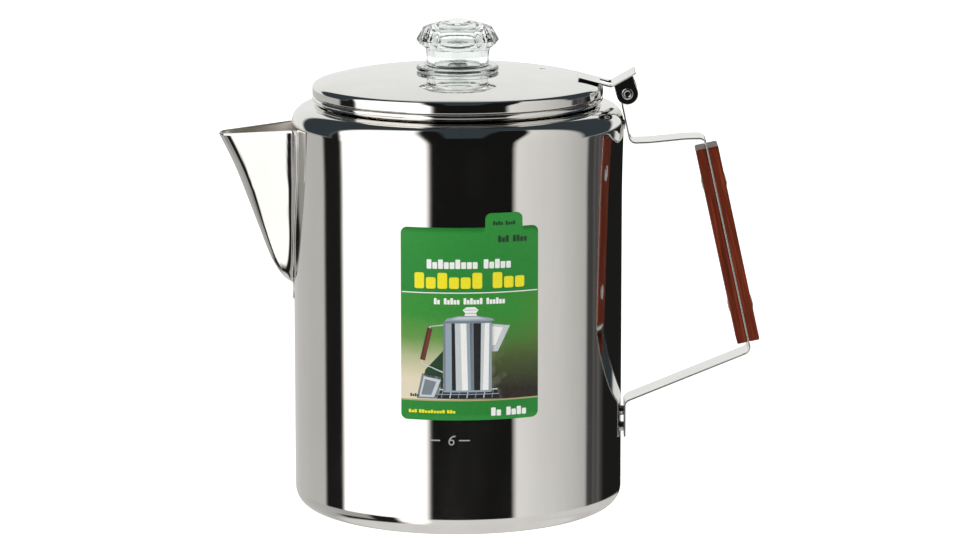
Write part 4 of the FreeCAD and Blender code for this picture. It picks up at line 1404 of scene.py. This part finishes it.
# Soft edges, as (start, end), of the pale ceiling and of the dark part of it over the pot. The
# climb ones run from 0 straight down to 1 straight up; the others are parts of a unit direction.
CEILING_CLIMB = (0.47, 0.49)
CEILING_BACK = (0.10, 0.24)
CAP_UP = (0.67, 0.74)
CAP_BACK = (0.06, 0.16)
WING_SPREAD = (0.02, 0.16)
WING_CLIMB = (0.468, 0.488)
STRIP_HALF_WIDTH = (0.17, 0.21)
STRIP_MIDDLE = 0.065
CEILING_COLOUR = (0.86, 0.87, 0.85, 1.0)
CAP_COLOUR = (0.036, 0.046, 0.052, 1.0)
BACKDROP_COLOUR = (1.0, 1.0, 1.0, 1.0)
# Share of the white backdrop seen through the glass
BACKDROP_THROUGH_GLASS = 0.84


def make_world():
    """Studio as a surround: panels and dark gaps low down, a pale and dark ceiling above."""
    world = bpy.data.worlds.new("studio")
    bpy.context.scene.world = world
    world.use_nodes = True
    world.node_tree.nodes.clear()
    nodes = Tree(world.node_tree)
    split = nodes.node("SeparateXYZ", nodes.place("Generated"))
    right, back, up = (split.outputs[axis] for axis in "XYZ")
    rise = nodes.math("MAXIMUM", up, 0.0)
    arch = nodes.math("MULTIPLY", nodes.math("MULTIPLY", rise, rise), PANEL_ARCH)
    turn = nodes.math("ARCTAN2", right, nodes.math("SUBTRACT", arch, back))
    compass = nodes.math("ADD", nodes.math("DIVIDE", turn, 2 * math.pi), 0.5)
    climb = nodes.math("ADD", nodes.math("DIVIDE", nodes.math("ARCSINE", up), math.pi), 0.5)

    def surround(table):
        stops = []
        for angle, level in table:
            stops.append((angle / 360 + 0.5, tuple(level * share for share in PANEL_TINT)))
        return nodes.ramp(compass, stops)

    def threshold(value, edge):
        return nodes.ramp(value, [(edge[0], (0, 0, 0)), (edge[1], (1, 1, 1))])

    def change_over(elevations, below, above):
        share = threshold(climb, [angle / 180 + 0.5 for angle in elevations])
        return nodes.mix(share, below, above)

    def background(colour):
        return nodes.node("Background", colour).outputs[0]

    def blend(share, first, second):
        return nodes.node("MixShader", share, first, second).outputs[0]

    bench = change_over(TO_BENCH_NEAR, surround(UNDERFOOT), surround(BENCH_NEAR))
    bench = change_over(TO_BENCH, bench, surround(BENCH))
    panels = change_over(TO_PANELS, bench, surround(PANELS))
    ceiling = nodes.math(
        "MULTIPLY", threshold(climb, CEILING_CLIMB), threshold(back, CEILING_BACK))
    high = threshold(up, CAP_UP)
    sideways = nodes.math("ABSOLUTE", right)
    spread = nodes.math("ADD", nodes.math("SUBTRACT", sideways, back), up)
    wing = nodes.math("MULTIPLY", threshold(spread, WING_SPREAD), threshold(climb, WING_CLIMB))
    cap = nodes.math("MULTIPLY", nodes.math("MAXIMUM", high, wing), threshold(back, CAP_BACK))
    aside = nodes.math("ABSOLUTE", nodes.math("SUBTRACT", right, STRIP_MIDDLE))
    middle = nodes.math("SUBTRACT", 1.0, threshold(aside, STRIP_HALF_WIDTH))
    cap = nodes.math("MAXIMUM", cap, nodes.math("MULTIPLY", high, middle))
    room = blend(ceiling, background(panels), background(CEILING_COLOUR))
    room = blend(cap, room, background(CAP_COLOUR))
    ray = nodes.node("LightPath").outputs
    through_glass = nodes.math("MULTIPLY", ray["Is Transmission Ray"], BACKDROP_THROUGH_GLASS)
    backdrop = nodes.math("MAXIMUM", ray["Is Camera Ray"], through_glass)
    nodes.node("OutputWorld", blend(backdrop, room, background(BACKDROP_COLOUR)))


def make_floor():
    """Plain pale floor under the pot, left out of the steel's reflections."""
    builder = bmesh.new()
    bmesh.ops.create_circle(builder, cap_ends=True, segments=96, radius=3.0)
    mesh = new_mesh("floor", builder)
    floor = bpy.data.objects.new("floor", mesh)
    bpy.context.scene.collection.objects.link(floor)
    floor.location.z = -0.0002
    material = bpy.data.materials.new("floor")
    material.use_nodes = True
    shader = material.node_tree.nodes["Principled BSDF"]
    shader.inputs["Base Color"].default_value = (0.8, 0.8, 0.8, 1.0)
    shader.inputs["Roughness"].default_value = 0.9
    shader.inputs["Emission Color"].default_value = (1, 1, 1, 1)
    shader.inputs["Emission Strength"].default_value = 1.0
    mesh.materials.append(material)
    floor.visible_glossy = False


def make_camera():
    """Long lens, slightly above, square on to the plane through spout and handle."""
    camera_data = bpy.data.cameras.new("camera")
    camera_data.lens = CAMERA_LENS
    camera_data.sensor_width = 36.0
    camera_data.clip_end = 50.0
    camera = bpy.data.objects.new("camera", camera_data)
    bpy.context.scene.collection.objects.link(camera)
    pitch = math.radians(CAMERA_PITCH)
    back = Vector((0, -math.cos(pitch), math.sin(pitch)))
    camera.location = (CAMERA_AIM + back * CAMERA_DISTANCE) * MM
    camera.rotation_euler = (math.pi / 2 - pitch, 0, 0)
    bpy.context.scene.camera = camera


make_camera()
main()
make_world()
make_floor()
bpy.context.scene.view_settings.view_transform = "Standard"
